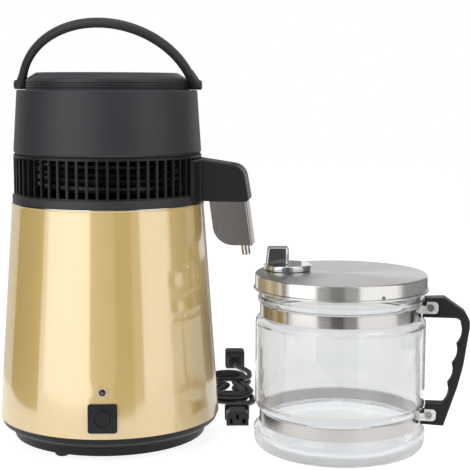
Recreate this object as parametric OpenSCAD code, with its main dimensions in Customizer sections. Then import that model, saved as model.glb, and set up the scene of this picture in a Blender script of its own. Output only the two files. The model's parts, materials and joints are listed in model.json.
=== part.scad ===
// Countertop water distiller: boiler, lift-off condenser head, glass carafe and detached mains cord.
// Millimetres, +Z up. The origin is on the counter, under the boiler's axis, and the switch faces -Y.

/* [Boiler] */
// Radius of the outer shell at its lower edge
shell_bottom_r = 115; // [112:0.5:122]
// Radius of the outer shell at its top
shell_top_r = 99; // [97:0.5:104]
// Height of the outer shell
shell_h = 221.5; // [180:0.5:260]
// Sheet thickness of the outer shell
shell_wall = 1; // [0.6:0.1:1.6]
// Height of the base ring's underside above the counter
base_clear = 5; // [4:0.5:10]
// Height of the base ring from its underside to the shell's edge
base_h = 21.5; // [18:0.5:26]
// Radius of the base ring at its underside
base_foot_r = 100; // [97:0.5:104]
// Outer radius of the boiling tank
tank_r = 88; // [84:0.5:90]
// Sheet thickness of the tank
tank_wall = 0.8; // [0.6:0.1:1.5]
// Depth of the tank below its rim
tank_depth = 204; // [160:1:206]
// Radius of a rubber foot
foot_r = 7.3; // [5:0.1:8]
// Distance of the feet from the axis
foot_pitch_r = 87.5; // [70:0.5:88]
// Turn of the first foot from the front, towards -X
foot_turn = 29; // [0:1:60]
// Number of feet
foot_count = 3; // [3:1:5]

/* [Switch and inlet] */
// Width of the square switch plate
switch_w = 28.6; // [24:0.2:34]
// Height of the switch's centre above the shell's lower edge
switch_rise = 20.5; // [18:0.5:40]
// Turn of the switch and lamp from straight ahead, to the right
switch_turn = 0.5; // [-20:0.5:20]
// Radius of the push button
button_r = 7.8; // [6:0.1:10]
// Travel of the push button
button_travel = 2.5; // [1:0.1:3]
// Distance of the lamp above the switch's centre
lamp_rise = 25.5; // [22:0.5:40]
// Radius of the lamp's lens
lamp_r = 3.5; // [2:0.1:4]
// Width of the mains inlet's flange
inlet_w = 31; // [29:0.5:36]
// Height of the mains inlet's flange
inlet_h = 24; // [22:0.5:28]
// Height of the inlet's centre above the shell's lower edge
inlet_rise = 24; // [20:0.5:60]

/* [Head] */
// Turn of the head about the axis: the spout's direction from +X
head_turn = -8; // [-60:0.5:60]
// Height of the head's lower flange ring
flange_h = 8.3; // [7:0.1:16]
// Height of the vent grille
vent_h = 40.7; // [37:0.1:50]
// Number of bars in the vent grille
vent_count = 60; // [40:1:64]
// Width of a grille bar
vent_bar = 2.4; // [2:0.1:4]
// Outer radius of the grille
vent_r = 96.8; // [96:0.1:98]
// Height of the skirt above the grille
skirt_h = 65.5; // [60:0.5:80]
// Radius of the skirt near its lower edge
skirt_bottom_r = 96.7; // [95.8:0.1:99]
// Radius of the skirt at its rim
skirt_top_r = 92.6; // [91:0.1:95]
// Radius of the cap
cap_r = 83; // [81:0.1:83.5]
// Height of the cap
cap_h = 17.5; // [15:0.5:18]
// Radius of the cap's rounded edge
cap_edge_r = 4; // [2:0.5:9]
// Width of the cap's sloping border
cap_slope_w = 10.5; // [6:0.1:14]
// Height of the cap's sloping border
cap_slope_h = 6.5; // [4:0.1:7]
// Wall of the skirt and cap
head_wall = 2.4; // [2:0.1:3]

/* [Condenser and fan] */
// Radius of the condenser coil's centre line
coil_r = 70; // [66:0.5:74]
// Radius of the coil's tube
coil_tube_r = 3.5; // [3:0.1:3.6]
// Rise of the coil in one turn
coil_pitch = 8; // [7.8:0.1:8.2]
// Radius of the fan
fan_r = 72; // [50:1:80]
// Number of fan blades
fan_blades = 5; // [3:1:7]
// Radius of the fan motor
motor_r = 22; // [16:0.5:28]
// Height of the fan motor
motor_h = 28; // [20:0.5:30]

/* [Spout] */
// Reach of the spout from the axis
spout_reach = 148.6; // [140:0.1:151]
// Width of the spout housing
spout_w = 36; // [34:0.5:42]
// Height of the spout housing where it meets the grille
spout_h = 44.5; // [40:0.5:46]
// Depth of the steel shield below the housing
shield_drop = 45; // [30:0.5:50]
// Sheet thickness of the shield
shield_t = 1; // [0.6:0.1:1.5]
// Outer radius of the outlet tube
outlet_r = 4.5; // [3.5:0.1:5]
// Length of the outlet tube below the shield
outlet_drop = 11; // [6:0.5:20]
// Lean of the shield and the outlet tube, away from the boiler
spout_lean = 8; // [4:0.1:10]

/* [Carry handle] */
// Outer radius of the handle's arc
bail_arc_r = 95.5; // [92:0.1:104]
// Depth of the arc's centre below the pivots
bail_sink = 15.8; // [12:0.1:30]
// Thickness of the handle along its radius
bail_t = 8.6; // [7:0.1:9.5]
// Radius of the round ends on the pivots
bail_foot_r = 4.9; // [4.2:0.1:5.2]
// Radius of the pivot pins
bail_pin_r = 2.5; // [1.5:0.1:3]
// Lean of the handle towards the front as it stands
bail_lean = 36; // [0:1:50]

/* [Carafe] */
// Place of the carafe's axis along X
carafe_x = 238.8; // [238:0.1:300]
// Place of the carafe's axis along Y
carafe_y = -46.6; // [-80:0.1:20]
// Direction of the carafe's handle from +X
carafe_turn = -9.5; // [-60:0.5:30]
// Radius of the glass
glass_r = 86.5; // [85:0.1:87]
// Height of the glass
glass_h = 175.3; // [170:0.1:190]
// Wall of the glass
glass_wall = 3; // [2:0.1:4]
// Radius of the glass at its thick base
glass_base_r = 87.5; // [86.5:0.1:88]
// Radius of the grooves under the steel bands
groove_r = 81; // [79:0.1:82]
// Height of a steel band
band_h = 12.2; // [9:0.1:13]
// Sheet thickness of a steel band
band_t = 0.8; // [0.5:0.1:1]
// Height of the lower band's lower edge above the counter
lower_band_z = 27; // [26:0.1:32]
// Height of the upper band's lower edge above the counter
upper_band_z = 137.5; // [130:0.1:139]
// Reach of the carafe's handle from the carafe's axis
handle_reach = 130; // [124:0.5:145]
// Thickness of the carafe's handle
handle_t = 18; // [14:0.5:24]
// Depth of a finger's hollow in the handle
finger_dip = 2.9; // [1:0.1:4]
// Number of finger hollows
finger_count = 4; // [2:1:4]

/* [Carafe lid] */
// Radius of the lid
lid_r = 87.3; // [86.5:0.1:88]
// Depth of the lid's skirt
lid_h = 16.3; // [12:0.1:18]
// Sheet thickness of the lid
lid_wall = 0.8; // [0.6:0.1:1.2]
// Radius of the lid's turning cap
knob_r = 24.4; // [20:0.1:26]
// Height of the turning cap's disc
knob_h = 6; // [4:0.1:10]
// Height of the grip on the turning cap
grip_h = 17.3; // [10:0.1:24]
// Width of the grip
grip_w = 18.7; // [10:0.1:20]
// Distance of the turning cap from the lid's axis
knob_off = 56.6; // [48:0.1:57]
// Direction of the turning cap from +X
knob_dir = 159; // [100:1:200]
// Depth of the filter cup under the lid
cup_h = 26; // [15:0.5:40]

/* [Mains cord] */
// Diameter of the cord
cord_d = 6.4; // [5.5:0.1:6.8]
// Place of the hank's centre along X
hank_x = 130; // [126:0.5:134]
// Place of the hank's centre along Y
hank_y = 168; // [160:0.5:200]
// Half width of the outer loop, to its centre line
hank_b = 26; // [25:0.5:28]
// Half width of the hank at its tie, to the outer loop's centre line
hank_waist = 14; // [14:0.1:16]
// Half length of a straight run, from the tie to a round end
hank_run = 37; // [36:0.5:42]
// Step from one loop to the next
hank_step = 8; // [7.8:0.1:8.2]

/* [Fits] */
// Gap between parts that lift apart
seat_gap = 0.3; // [0.2:0.05:0.5]
// Radial clearance of pins and shafts
pin_clear = 0.05; // [0.02:0.01:0.1]
// Gap round a piece that sits in a cut-out
slot_gap = 0.1; // [0.05:0.05:0.3]

/* [Hidden] */
$fn = 96;
tiny = 0.01;
far = 400;

gold = "#c9ab6c";
charcoal = "#3c3c40";
black = "#1d1d20";
steel = "#c4c4c2";
chrome = "#d8dadc";
rubber = "#2a2a2a";
glass = "#dfe8ea";
silicone = "#d9d4c8";

// Boiler levels
cover_t = 2;
shelf_t = 3;
rim_t = 0.7;
floor_least = 17;
base_lift = max(0, floor_least - (shell_h + rim_t - tank_depth));
shell_z = base_clear + base_h + base_lift;
shell_top_z = shell_z + shell_h;
rim_z = shell_top_z + rim_t;
tank_z = rim_z - tank_depth;
rim_r = shell_top_r - 0.3;
shell_lean = atan((shell_bottom_r - shell_top_r) / shell_h);
spigot_h = switch_rise - switch_w / 2 - 1;
base_wall = 2.5;
cover_z = base_clear + 2;
shelf_z = cover_z + cover_t;
shelf_r = 80;
screw_r = 2;
switch_corner = 2.6;
foot_stem_r = 3;
plate_t = 5;
plate_r = tank_r - 16;
plate_z = tank_z - plate_t;
element_r = 4;
element_ring_r = plate_r - 17;
element_gap = 0.05;
block_w = 40;
block_d = 18;
block_h = 14;
block_way_r = 2.5;
block_pitch = 12;
inlet_depth = 16;
inlet_lip = 4;
pin_pitch = 14;

// Head levels
head_z = rim_z + seat_gap;
gasket_t = 2.7;
dome_t = 0.8;
dome_rise = 12;
seal_inset = 2.7;
seal_w = 11.5;
seal_out_r = rim_r - seal_inset;
seal_in_r = seal_out_r - seal_w;
dome_r = seal_in_r - 0.5;
dome_z = head_z + gasket_t + dome_t;
dome_ball_r = (dome_r * dome_r + dome_rise * dome_rise) / (2 * dome_rise);
vent_z = head_z + flange_h;
vent_wall = 4;
vent_ring = 1.5;
skirt_z = vent_z + vent_h;
rim_flat_z = skirt_z + skirt_h;
skirt_in_r = vent_r - vent_wall;
intake_r = 70;
bracket_t = 3;
motor_z = skirt_z - motor_h;
shaft_r = 2.5;
shaft_l = 15;
hub_r = 14;
hub_h = 17;
hub_gap = 2;
fan_z = skirt_z + bracket_t + hub_gap;

// Condenser
coil_turns = 3.5;
coil_top_z = skirt_z - 6;
coil_bottom_z = coil_top_z - coil_turns * coil_pitch;
coil_start = 180;
coil_cup_turn = -12.7;
block_wall = 0.4;
block_near = 2 * coil_tube_r + 1;
riser_x = 14;
riser_r = 5;
drip_r = 3.5;

// Spout
spout_z = head_z + 2.2;
spout_wall = 2.4;
top_slope = 8.5;
top_fall = 6.2;
end_fall = 16;
housing_edge_r = 4;
shield_half = spout_w / 2 - 2;
shield_bend_r = 2.5;
shield_back = 38;
outlet_back = 11.5;
shield_inset = 2.5;

// Carry handle
pivot_z = rim_flat_z + bail_foot_r + seat_gap;
post_in = cap_r + 0.3;
post_t = 1.9;
bail_in = post_in + post_t + seat_gap;
bail_out = bail_in + 12.8;
bail_depth = 2 * bail_foot_r - 0.2;
bail_pin_out = bail_out - 2.3;

// Carafe
ear_reach = 98.4;
ear_rise = 4;
ear_in = groove_r + 5.8;
ear_root = ear_in + 2.5;
ear_hole_off = 7.5;
arm_t = handle_t - 2 * band_t - 4 * slot_gap;
ear_near = arm_t / 2 + slot_gap;
band_levels = [lower_band_z, upper_band_z];
band_in = groove_r + 0.2;
arm_in = band_in + band_t + 0.8;
lid_gasket_t = 3.6;
lid_top_z = glass_h + seat_gap + lid_gasket_t + lid_wall;
knob_spigot_r = 15.7;
glass_floor = 8;
glass_bead = 3;
screw_head_r = 3.6;
screw_head_t = 1.8;

// Mains cord
cord_r = cord_d / 2;
tie_t = 1.2;
tie_w = 4;
tie_lift = tie_t + 0.3;
layer_step = cord_d + 1;
lay_z = cord_r + 0.2;
hank_loops = 3;

function shell_r(z) = shell_bottom_r - (z - shell_z) * tan(shell_lean);
function arc(c, r, a0, a1, n = 8) = [for (i = [0:n]) let (a = a0 + (a1 - a0) * i / n)
  c + r * [cos(a), sin(a)]];
function backwards(list) = [for (i = [len(list) - 1:-1:0]) list[i]];

// Shapes that several pieces share

module rounded_rect(w, h, r) {
  square([w - 2 * r, h], center = true);
  square([w, h - 2 * r], center = true);
  for (x = [-1, 1], y = [-1, 1]) translate([x * (w / 2 - r), y * (h / 2 - r)]) circle(r);
}

module ring(r_out, r_in, h) {
  difference() {
    cylinder(r = r_out, h = h);
    translate([0, 0, -tiny]) cylinder(r = r_in, h = h + 2 * tiny);
  }
}

// Local +Z is the shell's outward normal, local +X points down the shell
module on_shell(rise, direction) {
  z = shell_z + rise;
  rotate(direction) translate([shell_r(z), 0, z]) rotate([0, 90 - shell_lean, 0]) children();
}

module on_head() {
  rotate(head_turn) children();
}

module around(count, start = 0) {
  for (i = [0:count - 1]) rotate(start + i * 360 / count) children();
}

module at_carafe() {
  translate([carafe_x, carafe_y, 0]) rotate(carafe_turn) children();
}

module at_knob() {
  translate([carafe_x, carafe_y, 0]) rotate(knob_dir) translate([knob_off, 0, 0]) children();
}

// Extrudes an outline in X and Z to a thickness centred on Y
module side_plate(t) {
  rotate([90, 0, 0]) linear_extrude(t, center = true) children();
}

// Boiler

module at_feet() {
  around(foot_count, -90 - foot_turn) translate([foot_pitch_r, 0, 0]) children();
}

module at_base_screws() {
  around(foot_count, -90 - foot_turn + 180 / foot_count) translate([foot_pitch_r, 0, 0]) children();
}

module outer_shell() {
  color(gold) difference() {
    rotate_extrude() polygon([[shell_bottom_r - shell_wall, shell_z], [shell_bottom_r, shell_z],
      [shell_top_r, shell_top_z], [shell_top_r - shell_wall, shell_top_z]]);
    on_shell(switch_rise, switch_turn - 90) linear_extrude(12, center = true)
      rounded_rect(switch_w + 2 * slot_gap, switch_w + 2 * slot_gap, switch_corner + slot_gap);
    on_shell(switch_rise + lamp_rise, switch_turn - 90) cylinder(r = lamp_r + 0.7, h = 12, center = true);
    on_shell(inlet_rise, 90)
      cube([inlet_h - inlet_lip + 2 * slot_gap, inlet_w - inlet_lip + 2 * slot_gap, 12], center = true);
  }
}

module base_ring() {
  spigot_r = shell_r(shell_z + spigot_h) - shell_wall - 0.1;
  color(charcoal) difference() {
    rotate_extrude() {
      polygon([[base_foot_r - base_wall, base_clear], [base_foot_r, base_clear],
        [base_foot_r + 0.5, shelf_z + 4], [base_foot_r + 3.5, shelf_z + 5.5],
        [shell_bottom_r - 2.5, (shell_z + shelf_z + 5.5) / 2], [shell_bottom_r - 0.5, shell_z - 0.4],
        [shell_bottom_r - 0.5, shell_z], [spigot_r, shell_z], [spigot_r, shell_z + spigot_h],
        [spigot_r - 2, shell_z + spigot_h], [spigot_r - 2, shell_z + 1],
        [base_foot_r - base_wall, shelf_z + 7]]);
      translate([shelf_r, shelf_z]) square([base_foot_r - shelf_r - 1, shelf_t]);
    }
    at_base_screws() translate([0, 0, shelf_z - 1]) cylinder(r = screw_r + 0.05, h = shelf_t + 2);
  }
}

module bottom_cover() {
  vents = 8;
  color(charcoal) difference() {
    translate([0, 0, cover_z]) cylinder(r = base_foot_r - base_wall - 0.3, h = cover_t);
    at_feet() translate([0, 0, cover_z - 1]) cylinder(r = foot_stem_r + slot_gap, h = cover_t + 2);
    at_base_screws() translate([0, 0, cover_z - 1]) cylinder(r = screw_r + 0.2, h = cover_t + 2);
    around(vents) translate([28, -2.5, cover_z - 1]) cube([26, 5, cover_t + 2]);
  }
}

module rubber_feet() {
  edge = 1.5;
  stem_z = shelf_z - slot_gap;
  color(rubber) at_feet() rotate_extrude() polygon([[0, 0], [foot_r - edge, 0], [foot_r, edge],
    [foot_r, cover_z], [foot_stem_r, cover_z], [foot_stem_r, stem_z], [0, stem_z]]);
}

module base_screws() {
  color(steel) at_base_screws() {
    translate([0, 0, cover_z - screw_head_t]) cylinder(r = screw_head_r, h = screw_head_t);
    translate([0, 0, cover_z - tiny]) cylinder(r = screw_r, h = cover_t + shelf_t + 2);
  }
}

module boiler_tank() {
  color(steel) translate([0, 0, tank_z + tank_wall])
    ring(tank_r, tank_r - tank_wall, tank_depth - tank_wall - rim_t);
}

module tank_floor() {
  color(steel) translate([0, 0, tank_z]) cylinder(r = tank_r, h = tank_wall);
}

module tank_rim() {
  color(steel) translate([0, 0, shell_top_z]) ring(rim_r, tank_r - tank_wall, rim_t);
}

module heater_plate() {
  color(chrome) translate([0, 0, plate_z]) cylinder(r = plate_r, h = plate_t);
}

module heating_element() {
  start = 200;
  span = 320;
  lead_r = 1.6;
  lead_drop = 12;
  lead_l = 11;
  color(steel) translate([0, 0, plate_z - element_r - element_gap]) {
    rotate(start) rotate_extrude(angle = span) translate([element_ring_r, 0]) circle(element_r);
    for (a = [start + tiny, start + span - tiny])
      rotate(a) translate([element_ring_r, 0, -lead_drop]) cylinder(r = lead_r, h = lead_l);
  }
}

module thermostats() {
  color(black) for (x = [-20, 20]) translate([x, 0, plate_z - 9]) {
    cylinder(r = 9, h = 9);
    for (y = [-4, 4]) translate([-1.5, y - 0.4, -6]) cube([3, 0.8, 6.5]);
  }
}

module terminal_block() {
  color(black) difference() {
    translate([-block_w / 2, element_ring_r - block_d / 2, shelf_z]) cube([block_w, block_d, block_h]);
    for (i = [-1:1]) translate([i * block_pitch, element_ring_r, shelf_z + 6])
      cylinder(r = block_way_r, h = far);
  }
}

module switch_bezel() {
  collar_w = 1.7;
  collar_rise = 0.7;
  front = 1.6;
  depth = 3;
  color(black) on_shell(switch_rise, switch_turn - 90) difference() {
    translate([0, 0, -depth]) {
      linear_extrude(depth + front) rounded_rect(switch_w, switch_w, switch_corner);
      cylinder(r = button_r + collar_w, h = depth + front + collar_rise);
    }
    translate([0, 0, -depth - 1]) cylinder(r = button_r + seat_gap, h = depth + front + collar_rise + 2);
  }
}

module switch_body() {
  depth = 3;
  body = 18;
  color(charcoal) on_shell(switch_rise, switch_turn - 90) difference() {
    translate([-12, -12, -depth - body]) cube([24, 24, body]);
    translate([0, 0, -depth - 10]) cylinder(r = 3 + pin_clear, h = 11);
  }
}

module power_button() {
  back = -0.3;
  front = 2.4;
  color(black) on_shell(switch_rise, switch_turn - 90) difference() {
    union() {
      translate([0, 0, back]) rotate_extrude() polygon([[0, 0], [button_r, 0], [button_r, front - back - 0.5],
        [button_r - 0.5, front - back], [0, front - back]]);
      translate([0, 0, back - 6.5]) cylinder(r = 3, h = 7);
    }
    translate([0, 0, front - 0.4]) cylinder(r = button_r - 1.6, h = 2);
  }
}

module lamp_bezel() {
  color(chrome) on_shell(switch_rise + lamp_rise, switch_turn - 90) difference() {
    union() {
      translate([0, 0, 0.15]) cylinder(r = lamp_r + 1.3, h = 0.9);
      translate([0, 0, -6]) cylinder(r = lamp_r + 0.6, h = 6.5);
    }
    translate([0, 0, -7]) cylinder(r = lamp_r + 0.05, h = 9);
  }
}

module lamp_lens() {
  color("#5a1512") on_shell(switch_rise + lamp_rise, switch_turn - 90) {
    translate([0, 0, -5.5]) cylinder(r = lamp_r, h = 6.4);
    translate([0, 0, 0.9 - tiny]) intersection() {
      translate([0, 0, -lamp_r]) sphere(lamp_r * sqrt(2));
      cylinder(r = lamp_r, h = 4);
    }
  }
}

// Three flat pins: two live ones in a row and the earth pin above them, drawn wider by grow
module inlet_pin_set(grow) {
  places = [[3, -pin_pitch / 2], [3, pin_pitch / 2], [-3, 0]];
  for (p = places) translate([p[0], p[1], -inlet_depth - 3]) linear_extrude(inlet_depth - 1)
    square([4 + 2 * grow, 2 + 2 * grow], center = true);
}

module power_inlet() {
  flange_t = 2.5;
  back_t = 2;
  wall = 1.5;
  color(black) on_shell(inlet_rise, 90) difference() {
    union() {
      translate([0, 0, 0.05]) linear_extrude(flange_t) rounded_rect(inlet_h, inlet_w, 2);
      translate([0, 0, -inlet_depth]) linear_extrude(inlet_depth + 1)
        square([inlet_h - inlet_lip, inlet_w - inlet_lip], center = true);
    }
    translate([0, 0, back_t - inlet_depth]) linear_extrude(inlet_depth + 6)
      square([inlet_h - inlet_lip - 2 * wall, inlet_w - inlet_lip - 2 * wall], center = true);
    inlet_pin_set(slot_gap);
  }
}

module inlet_pins() {
  color(chrome) on_shell(inlet_rise, 90) inlet_pin_set(0);
}

// Condenser head

module head_gasket() {
  color(silicone) translate([0, 0, head_z]) ring(seal_out_r, seal_in_r, gasket_t);
}

module steam_dome() {
  color(steel) difference() {
    rotate_extrude() {
      translate([dome_r - 0.5, dome_z - dome_t]) square([seal_out_r - dome_r + 0.5, dome_t]);
      intersection() {
        translate([0, dome_z - dome_t + dome_rise - dome_ball_r]) difference() {
          circle(dome_ball_r + dome_t, $fn = 360);
          circle(dome_ball_r, $fn = 360);
        }
        translate([0, dome_z - dome_t]) square([dome_r, 2 * dome_rise]);
      }
    }
    at_riser() cylinder(r = riser_r + slot_gap, h = far);
  }
}

module head_base() {
  color(charcoal) rotate_extrude() polygon([
    [dome_r + 1, dome_z], [rim_r - 2.4, dome_z], [rim_r - 2.4, head_z],
    [rim_r - 0.2, head_z], [rim_r - 0.2, vent_z], [dome_r + 1, vent_z]]);
}

module vent_grille() {
  flange_r = 88;
  slot_h = vent_h - 2 * vent_ring;
  slot_w = 2 * PI * vent_r / vent_count - vent_bar;
  color(black) difference() {
    union() {
      translate([0, 0, vent_z]) ring(vent_r, vent_r - vent_wall, vent_h);
      translate([0, 0, skirt_z - 2]) ring(vent_r - 1, flange_r, 2);
    }
    around(vent_count, head_turn + 180 / vent_count)
      translate([vent_r - vent_wall - 1, -slot_w / 2, vent_z + vent_ring])
      cube([vent_wall + 2, slot_w, slot_h - 1]);
    on_head() translate([vent_r - vent_wall - 1, -10, coil_bottom_z - drip_r]) cube([vent_wall + 2, 20, 20]);
  }
}

module head_skirt() {
  edge = 2;
  lip = 1.8;
  lip_h = 3.5;
  color(charcoal) difference() {
    rotate_extrude() polygon(concat(
      [[skirt_in_r, skirt_z], [skirt_bottom_r - lip, skirt_z], [skirt_bottom_r, skirt_z + lip_h]],
      arc([skirt_top_r - edge, rim_flat_z - edge], edge, 0, 90),
      [[intake_r, rim_flat_z], [intake_r, rim_flat_z - head_wall],
      [skirt_top_r - head_wall, rim_flat_z - head_wall]]));
    on_head() around(3, 90) translate([cap_r - 8, 0, rim_flat_z - 5]) cylinder(r = screw_r + 0.1, h = 10);
  }
}

module head_cap() {
  grooves = 3;
  groove = 0.6;
  slots = 24;
  top_z = rim_flat_z + cap_h;
  slope_z = top_z - cap_slope_h;
  slope = atan(cap_slope_h / cap_slope_w);
  bend = cap_edge_r * tan((90 - slope) / 2);
  boss_h = cap_h - cap_slope_h + 2.2;
  side = [for (i = [0:grooves - 1]) let (z = rim_flat_z + 2 + 2.4 * i)
    each [[cap_r, z], [cap_r - groove, z], [cap_r - groove, z + 1], [cap_r, z + 1]]];
  color(charcoal) difference() {
    union() {
      rotate_extrude() polygon(concat([[cap_r - head_wall, rim_flat_z], [cap_r, rim_flat_z]], side,
        arc([cap_r - cap_edge_r, slope_z - bend], cap_edge_r, 0, 90 - slope),
        [[cap_r - cap_slope_w, top_z], [0, top_z], [0, top_z - head_wall],
        [cap_r - cap_slope_w - 0.3 * head_wall, top_z - head_wall], [cap_r - head_wall, slope_z - bend]]));
      on_head() around(3, 90) translate([cap_r - 8, 0, rim_flat_z]) cylinder(r = 4, h = boss_h);
    }
    on_head() around(3, 90) translate([cap_r - 8, 0, rim_flat_z - 1]) cylinder(r = screw_r + 0.05, h = 9);
    on_head() around(slots, 7.5) translate([cap_r - 2 * head_wall, -6, rim_flat_z + 2])
      cube([3 * head_wall, 12, 1]);
  }
}

module cap_screws() {
  color(steel) on_head() around(3, 90) translate([cap_r - 8, 0, rim_flat_z - head_wall]) {
    translate([0, 0, -screw_head_t]) cylinder(r = screw_head_r, h = screw_head_t);
    translate([0, 0, -tiny]) cylinder(r = screw_r, h = head_wall + 7);
  }
}

module motor_bracket() {
  arms = 3;
  ring_in = 84;
  color(charcoal) translate([0, 0, skirt_z]) difference() {
    union() {
      ring(skirt_in_r - 0.3, ring_in, bracket_t);
      cylinder(r = motor_r + 4, h = bracket_t);
      around(arms, 30) translate([motor_r, -6, 0]) cube([ring_in - motor_r + 2, 12, bracket_t]);
    }
    translate([0, 0, -1]) cylinder(r = 8, h = bracket_t + 2);
  }
}

module fan_motor() {
  color(steel) difference() {
    translate([0, 0, motor_z]) cylinder(r = motor_r, h = motor_h);
    translate([0, 0, skirt_z - shaft_l]) cylinder(r = shaft_r + pin_clear, h = shaft_l + 1);
  }
}

module fan_rotor() {
  chord = 26;
  pitch = 35;
  color(black) {
    translate([0, 0, fan_z]) cylinder(r = hub_r, h = hub_h);
    translate([0, 0, skirt_z - shaft_l + 1]) cylinder(r = shaft_r, h = shaft_l + bracket_t + hub_gap);
    intersection() {
      translate([0, 0, fan_z]) cylinder(r = fan_r, h = hub_h);
      around(fan_blades) translate([(fan_r + hub_r) / 2 - 2, 0, fan_z + hub_h / 2]) rotate([pitch, 0, 0])
        cube([fan_r - hub_r + 4, chord, 1.6], center = true);
    }
  }
}

// The coil's own turn puts the cup at its outlet on the spout's middle line
module on_coil() {
  rotate(head_turn + coil_cup_turn) children();
}

module at_riser() {
  on_coil() translate([riser_x - coil_r, block_near + 7, 0]) children();
}

module steam_riser() {
  low_z = dome_z + dome_rise - 8;
  block_z = coil_top_z - coil_tube_r - block_wall;
  block_h = 2 * (coil_tube_r + block_wall);
  color(steel) difference() {
    union() {
      at_riser() translate([0, 0, low_z]) cylinder(r = riser_r, h = block_z - low_z + 1);
      on_coil() translate([-coil_r - 7, block_near, block_z]) cube([riser_x + 14, 14, block_h]);
    }
    at_riser() translate([0, 0, low_z - 1]) cylinder(r = riser_r - 1.2, h = coil_top_z - low_z + 1);
  }
}

function coil_point(a) = [coil_r * cos(a), coil_r * sin(a),
  coil_top_z - coil_pitch * (a - coil_start) / 360];
coil_end = coil_start + 360 * coil_turns;
coil_steps = 24 * coil_turns;
coil_turn_points = [for (i = [0:coil_steps])
  coil_point(coil_start + (coil_end - coil_start) * i / coil_steps)];
coil_path = concat([coil_turn_points[0] + [0, block_near, 0]], coil_turn_points,
  [coil_turn_points[coil_steps] + [0, block_near, 0]]);

module condenser_coil() {
  color(steel) on_coil() tube(coil_path, coil_tube_r, 6);
}

module drip_cup() {
  cup_w = 16;
  color(silicone) difference() {
    on_coil() translate([coil_r - 8, block_near, coil_bottom_z - coil_tube_r - 1])
      cube([cup_w + 2, cup_w, 2 * coil_tube_r + 1 + block_wall]);
    at_drip() cylinder(r = drip_r - 0.6 + slot_gap, h = far);
  }
}

// Local +Z runs along the drip tube, out from the cup
module at_drip() {
  on_head() translate([coil_r + 2, 0, coil_bottom_z]) rotate([0, 90, 0]) children();
}

module drip_tube() {
  tip = spout_reach - 10;
  color(steel) at_drip() ring(drip_r - 0.6, drip_r - 1.4, tip - coil_r - 2);
}

module outlet_elbow() {
  elbow_z = spout_z + spout_wall;
  color(silicone) difference() {
    on_head() intersection() {
      translate([spout_reach - 20, -7, elbow_z]) cube([20, 14, coil_bottom_z + drip_r + 2 - elbow_z]);
      side_plate(spout_w) spout_outline(spout_wall + slot_gap);
    }
    at_drip() cylinder(r = drip_r - 0.6 + slot_gap, h = spout_reach - coil_r - 10);
    at_outlet() cylinder(r = outlet_r + slot_gap, h = far, center = true);
  }
}

// Spout

spout_top_z = spout_z + spout_h;
spout_round_r = 16;
spout_end_z = spout_z + 2.2;

module spout_outline(inset) {
  reach = spout_reach - inset;
  top_r = spout_round_r - inset;
  end_dx = (spout_top_z - end_fall - spout_end_z) * tan(spout_lean);
  knee = [reach - end_dx - top_r, spout_top_z - top_fall - spout_round_r];
  near = vent_r - vent_wall;
  polygon(concat([[near, spout_z + inset], [reach - 1.8, spout_z + inset], [reach, spout_end_z + inset]],
    arc(knee, top_r, spout_lean, 90 - top_slope, 6),
    [[near, knee[1] + top_r * cos(top_slope) + (knee[0] + top_r * sin(top_slope) - near) * tan(top_slope)]]));
}

// Prism with two rounded upper edges, laid along the housing's sloping top
module spout_crown(inset) {
  half = spout_w / 2 - inset;
  edge = housing_edge_r;
  knee_z = spout_top_z - top_fall - spout_round_r;
  end_dx = (spout_top_z - end_fall - spout_end_z) * tan(spout_lean);
  translate([spout_reach - end_dx - spout_round_r, 0, knee_z]) rotate([0, top_slope, 0])
    translate([-far / 2, 0, spout_round_r - inset]) rotate([90, 0, 90]) linear_extrude(far) {
      translate([-half, -far]) square([2 * half, far - edge]);
      translate([-half + edge, -2 * edge]) square([2 * half - 2 * edge, 2 * edge]);
      for (s = [-1, 1]) translate([s * (half - edge), -edge]) circle(edge);
    }
}

module spout_housing() {
  pad_w = 68;
  pad_t = 3.6;
  color(black) difference() {
    on_head() union() {
      intersection() {
        side_plate(spout_w) spout_outline(0);
        spout_crown(0);
      }
      intersection() {
        translate([0, 0, spout_z]) ring(vent_r + pad_t, vent_r - 1, spout_h - 2);
        translate([vent_r - 30, -pad_w / 2, spout_z]) cube([50, pad_w, spout_h]);
      }
    }
    on_head() side_plate(spout_w - 2 * spout_wall) spout_outline(spout_wall);
    cylinder(r = vent_r + slot_gap, h = far);
    cylinder(r = rim_r - 0.2 + slot_gap, h = vent_z + slot_gap);
    at_outlet() cylinder(r = outlet_r + slot_gap, h = far, center = true);
  }
}

// Local +Z runs up the outlet tube, and the origin is where the tube passes the housing's underside
module at_outlet() {
  on_head() translate([spout_reach - outlet_back, 0, spout_z]) rotate([0, -spout_lean, 0]) children();
}

// Outline of the shield's bent sheet, seen along its bends, with its front face at zero
function shield_bend(inset) = concat(
  arc([-shield_bend_r, shield_bend_r - shield_half], shield_bend_r - inset, -90, 0, 6),
  arc([-shield_bend_r, shield_half - shield_bend_r], shield_bend_r - inset, 0, 90, 6));

module spout_shield() {
  low_z = spout_z - shield_drop;
  front_x = spout_reach - shield_inset;
  drift = shield_drop * tan(spout_lean);
  corner_r = 21;
  back_x = front_x - shield_back + (shield_drop - corner_r) * tan(spout_lean);
  color(steel) on_head() intersection() {
    translate([front_x, 0, spout_z]) rotate([0, -spout_lean, 0]) translate([0, 0, -2 * shield_drop])
      linear_extrude(3 * shield_drop) polygon(concat([[-2 * shield_back, -shield_half]], shield_bend(0),
        [[-2 * shield_back, shield_half], [-2 * shield_back, shield_half - shield_t]],
        backwards(shield_bend(shield_t)), [[-2 * shield_back, shield_t - shield_half]]));
    side_plate(2 * shield_half + 2) polygon(concat(
      [[front_x - shield_back, spout_z], [front_x + 2, spout_z], [front_x + drift + 2, low_z]],
      arc([back_x + corner_r, low_z + corner_r], corner_r, -90, -180)));
  }
}

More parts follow.
